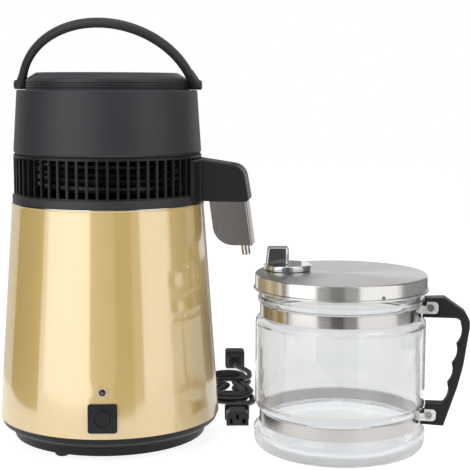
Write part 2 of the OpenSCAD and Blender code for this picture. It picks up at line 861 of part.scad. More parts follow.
module outlet_tube() {
  below = (shield_drop + outlet_drop) / cos(spout_lean);
  above = 6;
  color(steel) at_outlet() translate([0, 0, -below]) ring(outlet_r, outlet_r - 0.8, below + above);
}

// Carry handle

module bail_posts() {
  half = bail_foot_r;
  color(charcoal) on_head() for (s = [0, 180]) rotate(s) difference() {
    union() {
      translate([post_in, -half, rim_flat_z]) cube([post_t, 2 * half, pivot_z - rim_flat_z]);
      translate([post_in, 0, pivot_z]) rotate([0, 90, 0]) cylinder(r = half, h = post_t);
    }
    translate([post_in - 1, 0, pivot_z]) rotate([0, 90, 0]) cylinder(r = bail_pin_r + 0.02, h = post_t + 2);
  }
}

module bail_pins() {
  pin_in = post_in + 0.2;
  color(steel) on_head() for (s = [0, 180]) rotate(s) translate([pin_in, 0, pivot_z]) rotate([0, 90, 0])
    cylinder(r = bail_pin_r, h = bail_pin_out - pin_in);
}

// Distance of the arc's outer side from the axis, at a height above the pivots
function arm_x(z) = sqrt(bail_arc_r * bail_arc_r - (z + bail_sink) * (z + bail_sink));

module carry_handle() {
  edge = 3;
  flare_h = 16;
  flare_w = 2.4;
  color(charcoal) on_head() translate([0, 0, pivot_z]) rotate([bail_lean, 0, 0]) difference() {
    union() {
      intersection() {
        translate([0, 0, -bail_sink]) rotate([90, 0, 0]) rotate_extrude()
          translate([bail_arc_r - bail_t / 2, 0]) rounded_rect(bail_t, bail_depth, edge);
        translate([-far / 2, -far / 2, 0]) cube(far);
      }
      for (s = [0, 180]) rotate(s) {
        translate([bail_in, 0, 0]) rotate([0, 90, 0]) cylinder(r = bail_foot_r, h = bail_out - bail_in);
        side_plate(bail_depth) polygon([[arm_x(flare_h), flare_h], [arm_x(0) + flare_w, 2], [arm_x(0), 0],
          [arm_x(0) - bail_t / 2, 2], [arm_x(flare_h) - bail_t / 2, flare_h]]);
      }
    }
    rotate([0, 90, 0]) cylinder(r = bail_foot_r + seat_gap, h = 2 * bail_in, center = true);
    for (s = [0, 180]) rotate(s) translate([bail_in - 1, 0, 0]) rotate([0, 90, 0])
      cylinder(r = bail_pin_r + pin_clear, h = bail_pin_out - bail_in + 1.5);
  }
}

// Carafe

module carafe_glass() {
  low = lower_band_z - 1;
  low_top = lower_band_z + band_h + 1;
  up = upper_band_z - 1;
  up_top = upper_band_z + band_h + 1;
  corner = 11.8;
  bead = glass_bead;
  mouth_r = groove_r + bead;
  w = glass_wall;
  color(glass) at_carafe() rotate_extrude() polygon(concat(
    [[0, 3], [60, 3], [64, 0], [glass_base_r - corner, 0]],
    arc([glass_base_r - corner, corner], corner, -90, 0),
    [[glass_base_r, low - 5], [groove_r + 2, low], [groove_r, low],
    [groove_r, low_top], [groove_r + 1.5, low_top]],
    arc([glass_r - 4, low_top + 8], 4, -30, 0, 3),
    arc([glass_r - 6, up - 6], 6, 0, 55, 4),
    [[groove_r, up], [groove_r, up_top]],
    arc([groove_r, up_top + bead], bead, -90, 90, 6),
    [[groove_r, glass_h - 7], [mouth_r, glass_h - 5], [mouth_r, glass_h - 1], [mouth_r - 1, glass_h],
    [groove_r - w, glass_h], [groove_r - w, up - 3]],
    arc([glass_r - 6 - w, up - 9], 6, 40, 0, 4),
    [[glass_r - w, low_top + 10], [groove_r - w, low_top + 2], [groove_r - w, low + 2]],
    arc([groove_r - w - 10, glass_floor + 10], 10, 0, -90),
    [[0, glass_floor]]));
}

// A steel strap round the glass, whose two ends fold out along the handle's arm
module steel_band(z) {
  ear_l = ear_reach - ear_in;
  ear_z = band_h / 2 + ear_rise;
  root_l = ear_root - band_in + 0.3;
  color(steel) at_carafe() translate([0, 0, z]) difference() {
    union() {
      difference() {
        ring(band_in + band_t, band_in, band_h);
        translate([0, -ear_near, -1]) cube([far, 2 * ear_near, band_h + 2]);
      }
      for (s = [-1, 1]) translate([ear_in, s * (ear_near + band_t / 2), ear_z]) side_plate(band_t) {
        translate([ear_l / 2, 0]) rounded_rect(ear_l, band_h, 4);
        translate([ear_l / 4, 0]) square([ear_l / 2, band_h], center = true);
      }
      for (s = [-1, 1]) translate([ear_root, s * (ear_near + band_t / 2), band_h / 2]) side_plate(band_t)
        translate([-root_l / 2, ear_rise / 2]) square([root_l, band_h - ear_rise], center = true);
    }
    translate([ear_reach - ear_hole_off, 0, ear_z]) rotate([90, 0, 0])
      cylinder(r = screw_r + 0.1, h = far, center = true);
    cylinder(r = band_in, h = far, center = true);
  }
}

module upper_band() {
  steel_band(upper_band_z);
}

module lower_band() {
  steel_band(lower_band_z);
}

handle_low_z = lower_band_z - 0.5;
handle_low_top_z = lower_band_z + band_h + 9.4;
handle_high_z = upper_band_z + 0.1;
handle_top_z = upper_band_z + band_h + 8.5;
grip_low = [handle_reach - 25, handle_low_top_z];
grip_high = [handle_reach - 8.5, handle_high_z - 8];

module handle_outline() {
  grip_l = norm(grip_high - grip_low);
  grip_lean = atan2(grip_high[1] - grip_low[1], grip_high[0] - grip_low[0]);
  pitch = grip_l / finger_count;
  finger_r = (pitch * pitch / 4 + finger_dip * finger_dip) / (2 * finger_dip);
  difference() {
    polygon([[arm_in, handle_low_z + 1], [handle_reach - 24, handle_low_z],
      [handle_reach - 10.5, handle_low_z + 42], [handle_reach - 5.5, handle_low_z + 63],
      [handle_reach, handle_top_z - 30], [handle_reach, handle_top_z - 24],
      [handle_reach - 5.5, handle_top_z - 14], [handle_reach - 25.5, handle_top_z],
      [arm_in, handle_top_z - 1]]);
    polygon(concat([[0, handle_low_top_z], [grip_low[0] - 3, handle_low_top_z]],
      [grip_low + [0.4, 3], grip_high + [0, 2]], arc(grip_high + [-6, 2], 6, 0, 90, 5),
      [[0, handle_high_z]]));
    intersection() {
      translate([0, handle_low_top_z]) square([handle_reach, handle_high_z - handle_low_top_z]);
      for (i = [0:finger_count - 1]) translate(grip_low) rotate(grip_lean)
        translate([pitch * (i + 0.5), finger_r - finger_dip]) circle(finger_r);
    }
  }
}

module carafe_handle() {
  color(black) at_carafe() difference() {
    side_plate(handle_t) handle_outline();
    for (z = band_levels, s = [-1, 1]) translate([0, s * handle_t / 2, z + band_h / 2])
      side_plate(handle_t - arm_t) {
        translate([arm_in, ear_rise]) rounded_rect(2 * (ear_reach + 1 - arm_in), band_h + 2, 5);
        translate([arm_in, ear_rise / 2])
          square([2 * (ear_root + slot_gap - arm_in), band_h - ear_rise + 2], center = true);
      }
    for (z = band_levels) translate([ear_reach - ear_hole_off, 0, z + band_h / 2 + ear_rise])
      rotate([90, 0, 0])
      cylinder(r = screw_r + 0.1, h = far, center = true);
    difference() {
      cylinder(r = glass_base_r + seat_gap, h = upper_band_z);
      for (z = band_levels) translate([0, 0, z - 1]) cylinder(r = far, h = band_h + 2);
    }
    translate([0, 0, upper_band_z + band_h + 1]) cylinder(r = groove_r + glass_bead + 2 * seat_gap, h = far);
  }
}

module handle_screws() {
  seat = ear_near + band_t + slot_gap / 2;
  color(steel) at_carafe() for (z = band_levels)
    translate([ear_reach - ear_hole_off, 0, z + band_h / 2 + ear_rise]) rotate([90, 0, 0]) {
      translate([0, 0, -seat]) cylinder(r = screw_r, h = 2 * seat);
      translate([0, 0, seat - tiny]) cylinder(r = screw_head_r, h = screw_head_t - 0.4);
      translate([0, 0, -seat - screw_head_t]) cylinder(r = screw_head_r, h = screw_head_t, $fn = 6);
    }
}

// Carafe lid

module carafe_lid() {
  edge = 2;
  lip = 1.5;
  low_z = lid_top_z - lid_h;
  color(steel) difference() {
    at_carafe() rotate_extrude() polygon(concat(
      [[0, lid_top_z - lid_wall]], arc([lid_r - edge, lid_top_z - edge], edge - lid_wall, 90, 0),
      [[lid_r - lid_wall, low_z + 2.4], [lid_r + lip - lid_wall, low_z],
      [lid_r + lip, low_z], [lid_r + 0.2, low_z + 2]],
      arc([lid_r - edge, lid_top_z - edge], edge, 0, 90), [[0, lid_top_z]]));
    at_knob() cylinder(r = knob_spigot_r + pin_clear, h = far);
    at_carafe() rotate(-58) translate([lid_r - 3, 0, low_z + 5]) rotate([0, 90, 0]) cylinder(r = 1.6, h = 6);
  }
}

module lid_gasket() {
  color(silicone) at_carafe() translate([0, 0, glass_h + seat_gap])
    ring(groove_r + 3, groove_r - glass_wall + 0.2, lid_gasket_t);
}

module filter_cup() {
  rim = knob_spigot_r + 2.6;
  low_r = knob_spigot_r - 1;
  low_z = lid_top_z - lid_wall - cup_h;
  holes = 6;
  color("#e8e6e0") at_knob() difference() {
    translate([0, 0, low_z]) rotate_extrude() polygon([[0, 0], [low_r, 0], [rim, cup_h], [rim - 1.5, cup_h],
      [low_r - 1.5, 1.5], [0, 1.5]]);
    around(holes) translate([8, 0, low_z - 1]) cylinder(r = 1.5, h = 4);
  }
}

module lid_cap() {
  edge = 1.2;
  seat_z = lid_top_z + seat_gap;
  spigot_l = 4;
  color(chrome) at_knob() rotate(-knob_dir) {
    rotate_extrude() polygon([[0, seat_z - spigot_l], [knob_spigot_r, seat_z - spigot_l],
      [knob_spigot_r, seat_z], [knob_r, seat_z], [knob_r, seat_z + knob_h - edge],
      [knob_r - edge, seat_z + knob_h], [0, seat_z + knob_h]]);
    translate([-knob_r + 4, -grip_w / 2, seat_z + knob_h - tiny]) grip_block();
  }
}

module grip_block() {
  lean = 2;
  translate([grip_w / 2, grip_w / 2, 0]) rotate([90, 0, 0]) linear_extrude(grip_w, center = true)
    polygon([[-grip_w / 2 - lean, 0], [grip_w / 2, 0], [grip_w / 2, grip_h - 1], [grip_w / 2 - 1, grip_h],
      [-grip_w / 2 + 1, grip_h], [-grip_w / 2, grip_h - 1]]);
}

// Mains cord

module tube(path, r, sides) {
  n = len(path) - 1;
  dirs = [for (i = [0:n]) let (d = path[min(n, i + 1)] - path[max(0, i - 1)]) d / norm(d)];
  flats = [for (d = dirs) let (s = cross(d, [0, 0, 1])) s / norm(s)];
  rings = [for (i = [0:n], k = [0:sides - 1]) let (a = 360 * k / sides, up = cross(flats[i], dirs[i]))
    path[i] + r * (cos(a) * flats[i] + sin(a) * up)];
  walls = [for (i = [0:n - 1], k = [0:sides - 1]) let (a = i * sides + k, b = i * sides + (k + 1) % sides)
    each [[a, b, b + sides], [a, b + sides, a + sides]]];
  ends = [for (k = [1:sides - 2]) each [[0, k + 1, k], [n * sides, n * sides + k, n * sides + k + 1]]];
  polyhedron(points = rings, faces = concat(walls, ends));
}

// Loops spiral in along the lower layer and out again along the upper one
function hank_in(a) = (a <= 180 * hank_loops ? a : 360 * hank_loops - a) / 360;
function hank_climb(a) = max(0, min(1, (a - 180 * hank_loops + 60) / 120));
function ease(t) = (1 - cos(180 * t)) / 2;

// Place on the hank at angle a: runs through the tie near 0 and 180, round ends near 90 and 270
function hank_point(a) =
  let (phase = a % 360, side = (phase < 90 || phase >= 270) ? 1 : -1,
    half = hank_b - hank_step * hank_in(a), waist = hank_waist - hank_step * hank_in(a),
    q = phase < 90 ? phase : phase < 270 ? 180 - phase : phase - 360,
    run = abs(q) <= 45,
    y = run ? hank_run * q / 45 : sign(q) * (hank_run + half * sin(2 * (abs(q) - 45))),
    x = run ? waist + (half - waist) * ease(abs(q) / 45) : half * cos(2 * (abs(q) - 45)),
    lift = run ? tie_lift * (1 - ease(abs(q) / 45)) : 0)
  [hank_x + side * x, hank_y + y, lay_z + lift + layer_step * hank_climb(a)];

hank_steps = 24 * hank_loops;
hank_turns = [for (i = [0:hank_steps]) hank_point(360 * hank_loops * i / hank_steps)];
hank_first = [for (q = [45:-15:15]) [hank_x + hank_waist + (hank_b - hank_waist) * ease(q / 45),
  hank_y - hank_run * q / 45, lay_z + tie_lift * (1 - ease(q / 45))]];
hank_last = [for (p = backwards(hank_first)) [p[0], 2 * hank_y - p[1], p[2] + layer_step]];
hank_start = [hank_x + hank_b, hank_y - hank_run - 2 * cord_d, lay_z];
hank_finish = [hank_x + hank_b, hank_y + hank_run + 2 * cord_d, lay_z + layer_step];
hank_path = concat([hank_start], hank_first, hank_turns, hank_last, [hank_finish]);

// The leads' points, as steps from the hank's two ends
connector_lead_points = [[-20, -50, 5.9], [-20, -43, 5.9], [-16, -32, 4], [-7, -20, 1], [0, -8, 0],
  [0, 0, 0]];
plug_lead_points = [[0, 0, 0], [0, 7, 0], [-4, 16, 0.6], [-11, 26, 1.4], [-16, 36, 1.7], [-16, 44, 1.7]];
connector_lead_path = [for (p = connector_lead_points) hank_start + p];
plug_lead_path = [for (p = plug_lead_points) hank_finish + p];
connector_at = connector_lead_path[0];
plug_at = plug_lead_path[len(plug_lead_path) - 1];

function path_length(p) = len(p) < 2 ? 0 : [for (i = 1, s = norm(p[1] - p[0]); i < len(p);
  i = i + 1, s = s + (i < len(p) ? norm(p[i] - p[i - 1]) : 0)) s][len(p) - 2];
function near_miss(p, r, apart) =
  min([for (i = [0:len(p) - 1], j = [i + apart:1:len(p) - 1]) norm(p[i] - p[j])]) - 2 * r;
echo(coil_least_gap = near_miss(coil_path, coil_tube_r, 8));
echo(cord_least_gap = near_miss(concat(connector_lead_path, hank_path, plug_lead_path), cord_r, 8));
echo(cord_length = path_length(connector_lead_path) + path_length(hank_path) + path_length(plug_lead_path));

module cord_hank() {
  color(black) tube(hank_path, cord_r, 6);
}

module connector_lead() {
  color(black) tube(connector_lead_path, cord_r, 10);
}

module plug_lead() {
  color(black) tube(plug_lead_path, cord_r, 10);
}

module cord_tie() {
  in_w = 2 * hank_waist - hank_step / 2 + cord_d + 1.2;
  in_h = layer_step + cord_d + 0.5;
  color(rubber) translate([hank_x + hank_step / 4, hank_y, tie_lift + in_h / 2]) rotate([90, 0, 0])
    linear_extrude(tie_w, center = true) difference() {
      rounded_rect(in_w + 2 * tie_t, in_h + 2 * tie_t, cord_r + tie_t);
      rounded_rect(in_w, in_h, cord_r);
    }
}

// Local +Z runs from the connector's back along the cord's first stretch, reversed
module at_connector() {
  translate(connector_at) rotate([90, 0, 0]) children();
}

module at_plug() {
  translate(plug_at) rotate([-90, 0, 0]) children();
}

// A bend relief of stepped rings round the cord, wide end up
module ribbed_relief(length, r_low, r_high, ribs) {
  pitch = length / ribs;
  color(black) rotate_extrude() for (i = [0:ribs - 1]) {
    translate([0, i * pitch]) square([r_low + (r_high - r_low) * i / ribs - 1, pitch]);
    translate([0, i * pitch + pitch * 0.4]) square([r_low + (r_high - r_low) * i / ribs, pitch * 0.6]);
  }
}

relief_l = 18;
plug_relief_l = 11;
connector_body_l = 24;
connector_flange_l = 8;

module connector_relief() {
  at_connector() ribbed_relief(relief_l, cord_r + 2, cord_r + 4.6, 5);
}

module cord_connector() {
  slot = [2.6, 5, 16];
  color(black) at_connector() translate([0, 0, relief_l]) difference() {
    union() {
      linear_extrude(connector_flange_l) rounded_rect(27, 18.4, 3);
      translate([0, 0, connector_flange_l - tiny]) linear_extrude(connector_body_l)
        polygon([[-12, -7.8], [12, -7.8], [12, 4], [8.2, 7.8], [-8.2, 7.8], [-12, 4]]);
    }
    translate([0, 0, connector_flange_l + connector_body_l - slot[2]]) {
      for (s = [-1, 1]) translate([(s * pin_pitch - slot[0]) / 2, -5.4, 0]) cube(slot);
      translate([-slot[0] / 2, -0.6, 0]) cube(slot);
    }
  }
}

module plug_relief() {
  at_plug() ribbed_relief(plug_relief_l, cord_r + 1.6, cord_r + 2.8, 2);
}

plug_waist_l = 12;
plug_head_l = 22;

module mains_plug() {
  color(black) at_plug() translate([0, 0, plug_relief_l]) {
    linear_extrude(plug_waist_l) rounded_rect(19, 17, 4);
    translate([0, 0, plug_waist_l - tiny]) linear_extrude(plug_head_l) rounded_rect(25, 23, 3);
  }
}

module plug_blades() {
  blade = [1.5, 6.3, 17.5];
  earth_r = 2.4;
  earth_l = 20.5;
  color(chrome) at_plug() translate([0, 0, plug_relief_l + plug_waist_l + plug_head_l]) {
    for (x = [-6.35, 6.35]) translate([x - blade[0] / 2, -1 - blade[1] / 2, 0]) difference() {
      cube(blade);
      translate([-1, blade[1] / 2, blade[2] - 4.5]) rotate([0, 90, 0]) cylinder(r = 1.6, h = 4);
    }
    translate([0, 7.5, 0]) cylinder(r = earth_r, h = earth_l);
  }
}

outer_shell();
base_ring();
bottom_cover();
rubber_feet();
base_screws();
boiler_tank();
tank_floor();
tank_rim();
heater_plate();
heating_element();
thermostats();
terminal_block();
switch_bezel();
switch_body();
power_button();
lamp_bezel();
lamp_lens();
power_inlet();
inlet_pins();
head_gasket();
steam_dome();
head_base();
vent_grille();
head_skirt();
head_cap();
cap_screws();
motor_bracket();
fan_motor();
fan_rotor();
steam_riser();
condenser_coil();
drip_cup();
drip_tube();
outlet_elbow();
spout_housing();
spout_shield();
outlet_tube();
bail_posts();
bail_pins();
carry_handle();
carafe_glass();
upper_band();
lower_band();
carafe_handle();
handle_screws();
carafe_lid();
lid_gasket();
filter_cup();
lid_cap();
cord_connector();
connector_relief();
connector_lead();
cord_hank();
cord_tie();
plug_lead();
plug_relief();
mains_plug();
plug_blades();
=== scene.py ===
import json
import math
import bpy
from mathutils import Matrix, Vector


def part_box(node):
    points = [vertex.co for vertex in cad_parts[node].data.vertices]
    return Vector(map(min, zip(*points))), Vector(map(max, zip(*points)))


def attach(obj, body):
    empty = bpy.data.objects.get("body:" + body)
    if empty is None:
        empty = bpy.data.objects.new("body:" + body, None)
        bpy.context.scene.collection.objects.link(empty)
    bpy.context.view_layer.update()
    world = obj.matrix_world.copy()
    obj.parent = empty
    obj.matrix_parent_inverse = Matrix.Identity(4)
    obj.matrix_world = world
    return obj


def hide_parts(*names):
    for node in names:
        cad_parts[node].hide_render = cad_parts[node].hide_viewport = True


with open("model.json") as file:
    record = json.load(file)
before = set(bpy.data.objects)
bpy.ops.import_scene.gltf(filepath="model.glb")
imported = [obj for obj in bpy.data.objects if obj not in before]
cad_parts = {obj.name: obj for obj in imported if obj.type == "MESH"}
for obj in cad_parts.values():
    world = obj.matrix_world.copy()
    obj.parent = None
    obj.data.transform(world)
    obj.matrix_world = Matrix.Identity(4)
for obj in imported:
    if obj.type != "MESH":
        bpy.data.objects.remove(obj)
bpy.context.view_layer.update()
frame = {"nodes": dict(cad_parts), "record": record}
mm = 0.001
axisR = 0.005    # mm; a turned outline ends this close to its axis, and merging doubles closes it
nodes = frame["nodes"]
print("frame loaded:", len(nodes), "nodes")


# Camera: a long lens a little above the lid, where the photograph was taken from

cameraSet = {
    "place": (99.45 * mm, -1247.57 * mm, 368.2 * mm),
    "turn": -1.5,      # degrees about the vertical, to the right
    "tilt": 7.106,     # degrees below level
    "roll": 0.171,
    "lens": 91.73,     # in mm
    "frameWidth": 36.0,
}


def makeCamera():
    bpy.ops.object.camera_add(location=cameraSet["place"])
    camera = bpy.context.object
    camera.name = "viewCamera"
    camera.data.lens = cameraSet["lens"]
    camera.data.sensor_width = cameraSet["frameWidth"]
    aim = (Matrix.Rotation(math.radians(cameraSet["turn"]), 4, "Z")
           @ Matrix.Rotation(math.radians(90 - cameraSet["tilt"]), 4, "X")
           @ Matrix.Rotation(math.radians(cameraSet["roll"]), 4, "Z"))
    camera.matrix_world = Matrix.Translation(cameraSet["place"]) @ aim
    camera.data.clip_start = 0.05
    camera.data.clip_end = 50.0
    bpy.context.scene.camera = camera


makeCamera()
print("camera set")


# Working helpers

def deselectAll():
    bpy.ops.object.select_all(action="DESELECT")


def makeActive(piece):
    deselectAll()
    piece.select_set(True)
    bpy.context.view_layer.objects.active = piece


def hexColour(text):
    parts = [int(text[i:i + 2], 16) / 255 for i in (1, 3, 5)]
    linear = [c / 12.92 if c <= 0.04045 else ((c + 0.055) / 1.055) ** 2.4 for c in parts]
    return (*linear, 1.0)


def addNode(tree, kind, inputs=None, **settings):
    made = tree.nodes.new(kind)
    for key, value in settings.items():
        setattr(made, key, value)
    for key, value in (inputs or {}).items():
        if isinstance(value, bpy.types.NodeSocket):
            tree.links.new(value, made.inputs[key])
        else:
            made.inputs[key].default_value = value
    return made


def startMaterial(name, **shaderValues):
    material = bpy.data.materials.new(name)
    material.use_nodes = True
    tree = material.node_tree
    shader = tree.nodes["Principled BSDF"]
    for key, value in shaderValues.items():
        shader.inputs[key.replace("_", " ")].default_value = value
    return material, tree, shader


def rounded(corners, steps=5):
    # corners are (radius, height, rounding) in mm; a corner with a rounding becomes an arc
    points = []
    for i, (x, y, size) in enumerate(corners):
        here = Vector((x, y))
        if size == 0:
            points.append((x, y))
            continue
        back = (Vector(corners[i - 1][:2]) - here).normalized()
        ahead = (Vector(corners[(i + 1) % len(corners)][:2]) - here).normalized()
        half = back.angle(ahead) / 2
        middle = here + (back + ahead).normalized() * size / math.sin(half)
        first = here + back * size / math.tan(half) - middle
        last = here + ahead * size / math.tan(half) - middle
        start = math.atan2(first.y, first.x)
        sweep = (math.atan2(last.y, last.x) - start + math.pi) % (2 * math.pi) - math.pi
        for k in range(steps + 1):
            angle = start + sweep * k / steps
            points.append((middle.x + size * math.cos(angle), middle.y + size * math.sin(angle)))
    return points


def smoothShade(piece, angle=35):
    makeActive(piece)
    bpy.ops.object.shade_smooth_by_angle(angle=math.radians(angle))


def keepFlat(piece):
    # smooth over the small rounds only: large flat faces keep their own normals
    smoothShade(piece)
    bpy.ops.object.modifier_add(type="WEIGHTED_NORMAL")
    level = piece.modifiers[-1]
    level.weight = 100
    level.keep_sharp = True
    bpy.ops.object.modifier_apply(modifier=level.name)


def turned(name, outline, centre=(0, 0), sides=144):
    # a ring is extruded from point to point of a closed outline, (radius, height) in mm
    deselectAll()
    r, z = outline[0]
    bpy.ops.mesh.primitive_circle_add(vertices=sides, radius=r * mm)
    piece = bpy.context.object
    piece.name = name
    bpy.ops.object.mode_set(mode="EDIT")
    bpy.ops.mesh.select_all(action="SELECT")
    bpy.ops.transform.translate(value=(centre[0] * mm, centre[1] * mm, z * mm))
    for nextR, nextZ in outline[1:] + outline[:1]:
        bpy.ops.mesh.extrude_region_move(TRANSFORM_OT_translate={"value": (0, 0, (nextZ - z) * mm)})
        bpy.ops.transform.resize(value=(nextR / r, nextR / r, 1),
                                 center_override=(centre[0] * mm, centre[1] * mm, nextZ * mm))
        r, z = nextR, nextZ
    bpy.ops.mesh.select_all(action="SELECT")
    bpy.ops.mesh.remove_doubles(threshold=0.02 * mm)
    bpy.ops.mesh.normals_make_consistent(inside=False)
    bpy.ops.object.mode_set(mode="OBJECT")
    smoothShade(piece)
    return piece


def plainCopy(name, node):
    # a copy of a CAD node, its loose triangles merged into flat faces
    makeActive(nodes[node])
    bpy.ops.object.duplicate()
    piece = bpy.context.object
    piece.name = name
    for key in [k for k in piece.keys() if k.startswith("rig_")]:
        del piece[key]
    piece.data.materials.clear()
    bpy.ops.object.mode_set(mode="EDIT")
    bpy.ops.mesh.select_all(action="SELECT")
    bpy.ops.mesh.remove_doubles(threshold=0.005 * mm)
    bpy.ops.mesh.dissolve_limited(angle_limit=math.radians(0.5))
    bpy.ops.object.mode_set(mode="OBJECT")
    return piece


def roundEdges(piece, width, segments, miter="MITER_SHARP"):
    # edges that turn more than 30 degrees get a small round, its width in mm
    makeActive(piece)
    bpy.ops.object.modifier_add(type="BEVEL")
    edge = piece.modifiers[-1]
    edge.width = width * mm
    edge.segments = segments
    edge.limit_method = "ANGLE"
    edge.angle_limit = math.radians(30)
    edge.miter_outer = miter
    bpy.ops.object.modifier_apply(modifier=edge.name)


def softCopy(name, node, width, segments=3):
    # pressed, turned or small moulded pieces: the solid with its sharp edges rounded
    piece = plainCopy(name, node)
    roundEdges(piece, width, segments, "MITER_ARC")
    keepFlat(piece)
    return piece


def mouldedCopy(name, node, grain, passes):
    # moulded pieces: remade at an even grain and smoothed until every edge is soft
    piece = plainCopy(name, node)
    bpy.ops.object.modifier_add(type="REMESH")
    remade = piece.modifiers[-1]
    remade.mode = "VOXEL"
    remade.voxel_size = grain * mm
    bpy.ops.object.modifier_apply(modifier=remade.name)
    bpy.ops.object.modifier_add(type="SMOOTH")
    soft = piece.modifiers[-1]
    soft.factor = 0.5
    soft.iterations = passes
    bpy.ops.object.modifier_apply(modifier=soft.name)
    bpy.ops.object.shade_smooth()
    return piece


def cutHole(piece, sides, radius, depth, place):
    # a prism, its size in mm, is set at place and taken out of the piece
    deselectAll()
    bpy.ops.mesh.primitive_cylinder_add(vertices=sides, radius=radius * mm, depth=depth * mm)
    cutter = bpy.context.object
    cutter.matrix_world = place
    makeActive(piece)
    bpy.ops.object.modifier_add(type="BOOLEAN")
    hole = piece.modifiers[-1]
    hole.object = cutter
    hole.operation = "DIFFERENCE"
    bpy.ops.object.modifier_apply(modifier=hole.name)
    bpy.data.objects.remove(cutter)


def settle(piece, body, slotName, *replaced, finish=None):
    # body it rides on, record slot, solids it stands for, and its finish
    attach(piece, body)
    if replaced:
        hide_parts(*replaced)
    piece.data.materials.append(finish or finishes[slotName])
    return piece


# Mains cord: one flexible lead, tied in a hank of three loops

cordSet = {
    "diameter": 6.4 * mm,
    "hankX": 130 * mm,
    "hankY": 168 * mm,
    "halfWidth": 26 * mm,
    "waist": 14 * mm,
    "run": 37 * mm,
    "step": 8 * mm,
    "loops": 3,
    "tieLift": 1.5 * mm,
    "layer": 7.4 * mm,
    "rest": 3.4 * mm,        # height of the lowest layer's middle
    "pointsPerLoop": 24,
    "plugRound": 1.4,        # rounding of the moulded ends, in mm
    "connectorRound": 1.0,
}
# the two loose ends, in mm from where they leave the hank
connectorLead = [(-20, -50, 5.9), (-20, -43, 5.9), (-16, -32, 4), (-7, -20, 1), (0, -8, 0), (0, 0, 0)]
plugLead = [(0, 0, 0), (0, 7, 0), (-4, 16, 0.6), (-11, 26, 1.4), (-16, 36, 1.7), (-16, 44, 1.7)]


def ease(t):
    return (1 - math.cos(math.pi * t)) / 2


def hankPoint(angle):
    # each turn is a long loop pinched at the tie; turns step inwards, climb a layer, then step outwards
    s = cordSet
    half = 180 * s["loops"]
    inward = (angle if angle <= half else 2 * half - angle) / 360
    climb = max(0.0, min(1.0, (angle - half + 60) / 120))
    phase = angle % 360
    side = 1 if phase < 90 or phase >= 270 else -1
    q = phase if phase < 90 else 180 - phase if phase < 270 else phase - 360
    wide = s["halfWidth"] - s["step"] * inward
    narrow = s["waist"] - s["step"] * inward
    if abs(q) <= 45:
        t = ease(abs(q) / 45)
        x, y, lift = narrow + (wide - narrow) * t, s["run"] * q / 45, s["tieLift"] * (1 - t)
    else:
        bend = math.radians(2 * (abs(q) - 45))
        x, y, lift = wide * math.cos(bend), math.copysign(s["run"] + wide * math.sin(bend), q), 0.0
    return Vector((s["hankX"] + side * x, s["hankY"] + y, s["rest"] + lift + s["layer"] * climb))


def cordRoute():
    s = cordSet
    firstHalf = []
    for q in (45, 30, 15):
        t = ease(q / 45)
        firstHalf.append(Vector((s["hankX"] + s["waist"] + (s["halfWidth"] - s["waist"]) * t,
                                 s["hankY"] - s["run"] * q / 45, s["rest"] + s["tieLift"] * (1 - t))))
    steps = s["pointsPerLoop"] * s["loops"]
    turns = [hankPoint(360 * s["loops"] * i / steps) for i in range(steps + 1)]
    lastHalf = [Vector((p.x, 2 * s["hankY"] - p.y, p.z + s["layer"])) for p in reversed(firstHalf)]
    reach = s["run"] + 2 * s["diameter"]
    start = Vector((s["hankX"] + s["halfWidth"], s["hankY"] - reach, s["rest"]))
    end = Vector((s["hankX"] + s["halfWidth"], s["hankY"] + reach, s["rest"] + s["layer"]))
    lead = [start + Vector(p) * mm for p in connectorLead]
    tail = [end + Vector(p) * mm for p in plugLead]
    return lead + firstHalf + turns + lastHalf + tail


def makeCord():
    route = cordRoute()
    curve = bpy.data.curves.new("mainsCord", "CURVE")
    curve.dimensions = "3D"
    curve.bevel_depth = 1.0              # the thickness is each point's own radius
    curve.bevel_resolution = 5
    curve.use_fill_caps = True
    spline = curve.splines.new("POLY")
    spline.points.add(len(route) - 1)
    for point, place in zip(spline.points, route):
        point.co = (*place, 1.0)
        point.radius = cordSet["diameter"] / 2
    spline.use_smooth = True
    cord = bpy.data.objects.new("mainsCord", curve)
    bpy.context.scene.collection.objects.link(cord)
    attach(cord, "boiler")
    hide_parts("connector_lead", "cord_hank", "plug_lead")
    return cord


plugBody = softCopy("plugBody", "mains_plug", cordSet["plugRound"])
connectorBody = softCopy("connectorBody", "cord_connector", cordSet["connectorRound"])
cord = makeCord()
print("cord laid")


# Finishes

def goldLacquer():
    # Champagne-gold lacquer on spun steel: a soft metallic glow under a clear coat with crisp reflections
    # the real flake is too fine to show, so it is drawn at 0.5 mm; the coat's IOR is matched to its mirror shine
    material, tree, shader = startMaterial("goldLacquer", Metallic=0.2, Roughness=0.4, Coat_Weight=1.0,
                                           Coat_Roughness=0.1, Coat_IOR=2.6)
    place = addNode(tree, "ShaderNodeTexCoord")
    flake = addNode(tree, "ShaderNodeTexNoise", {"Vector": place.outputs["Object"], "Scale": 1 / (0.5 * mm),
                                                 "Detail": 2.0})
    tint = addNode(tree, "ShaderNodeMix", {"Factor": flake.outputs["Fac"], 6: hexColour("#d4b46a"),
                                           7: hexColour("#dbbc76")}, data_type="RGBA")
    tree.links.new(tint.outputs[2], shader.inputs["Base Color"])
    wave = addNode(tree, "ShaderNodeTexNoise", {"Vector": place.outputs["Object"], "Scale": 1 / (40 * mm),
                                                "Detail": 1.0})
    bump = addNode(tree, "ShaderNodeBump", {"Height": wave.outputs["Fac"], "Strength": 0.06,
                                            "Distance": 0.2 * mm})
    tree.links.new(bump.outputs["Normal"], shader.inputs["Coat Normal"])
    return material


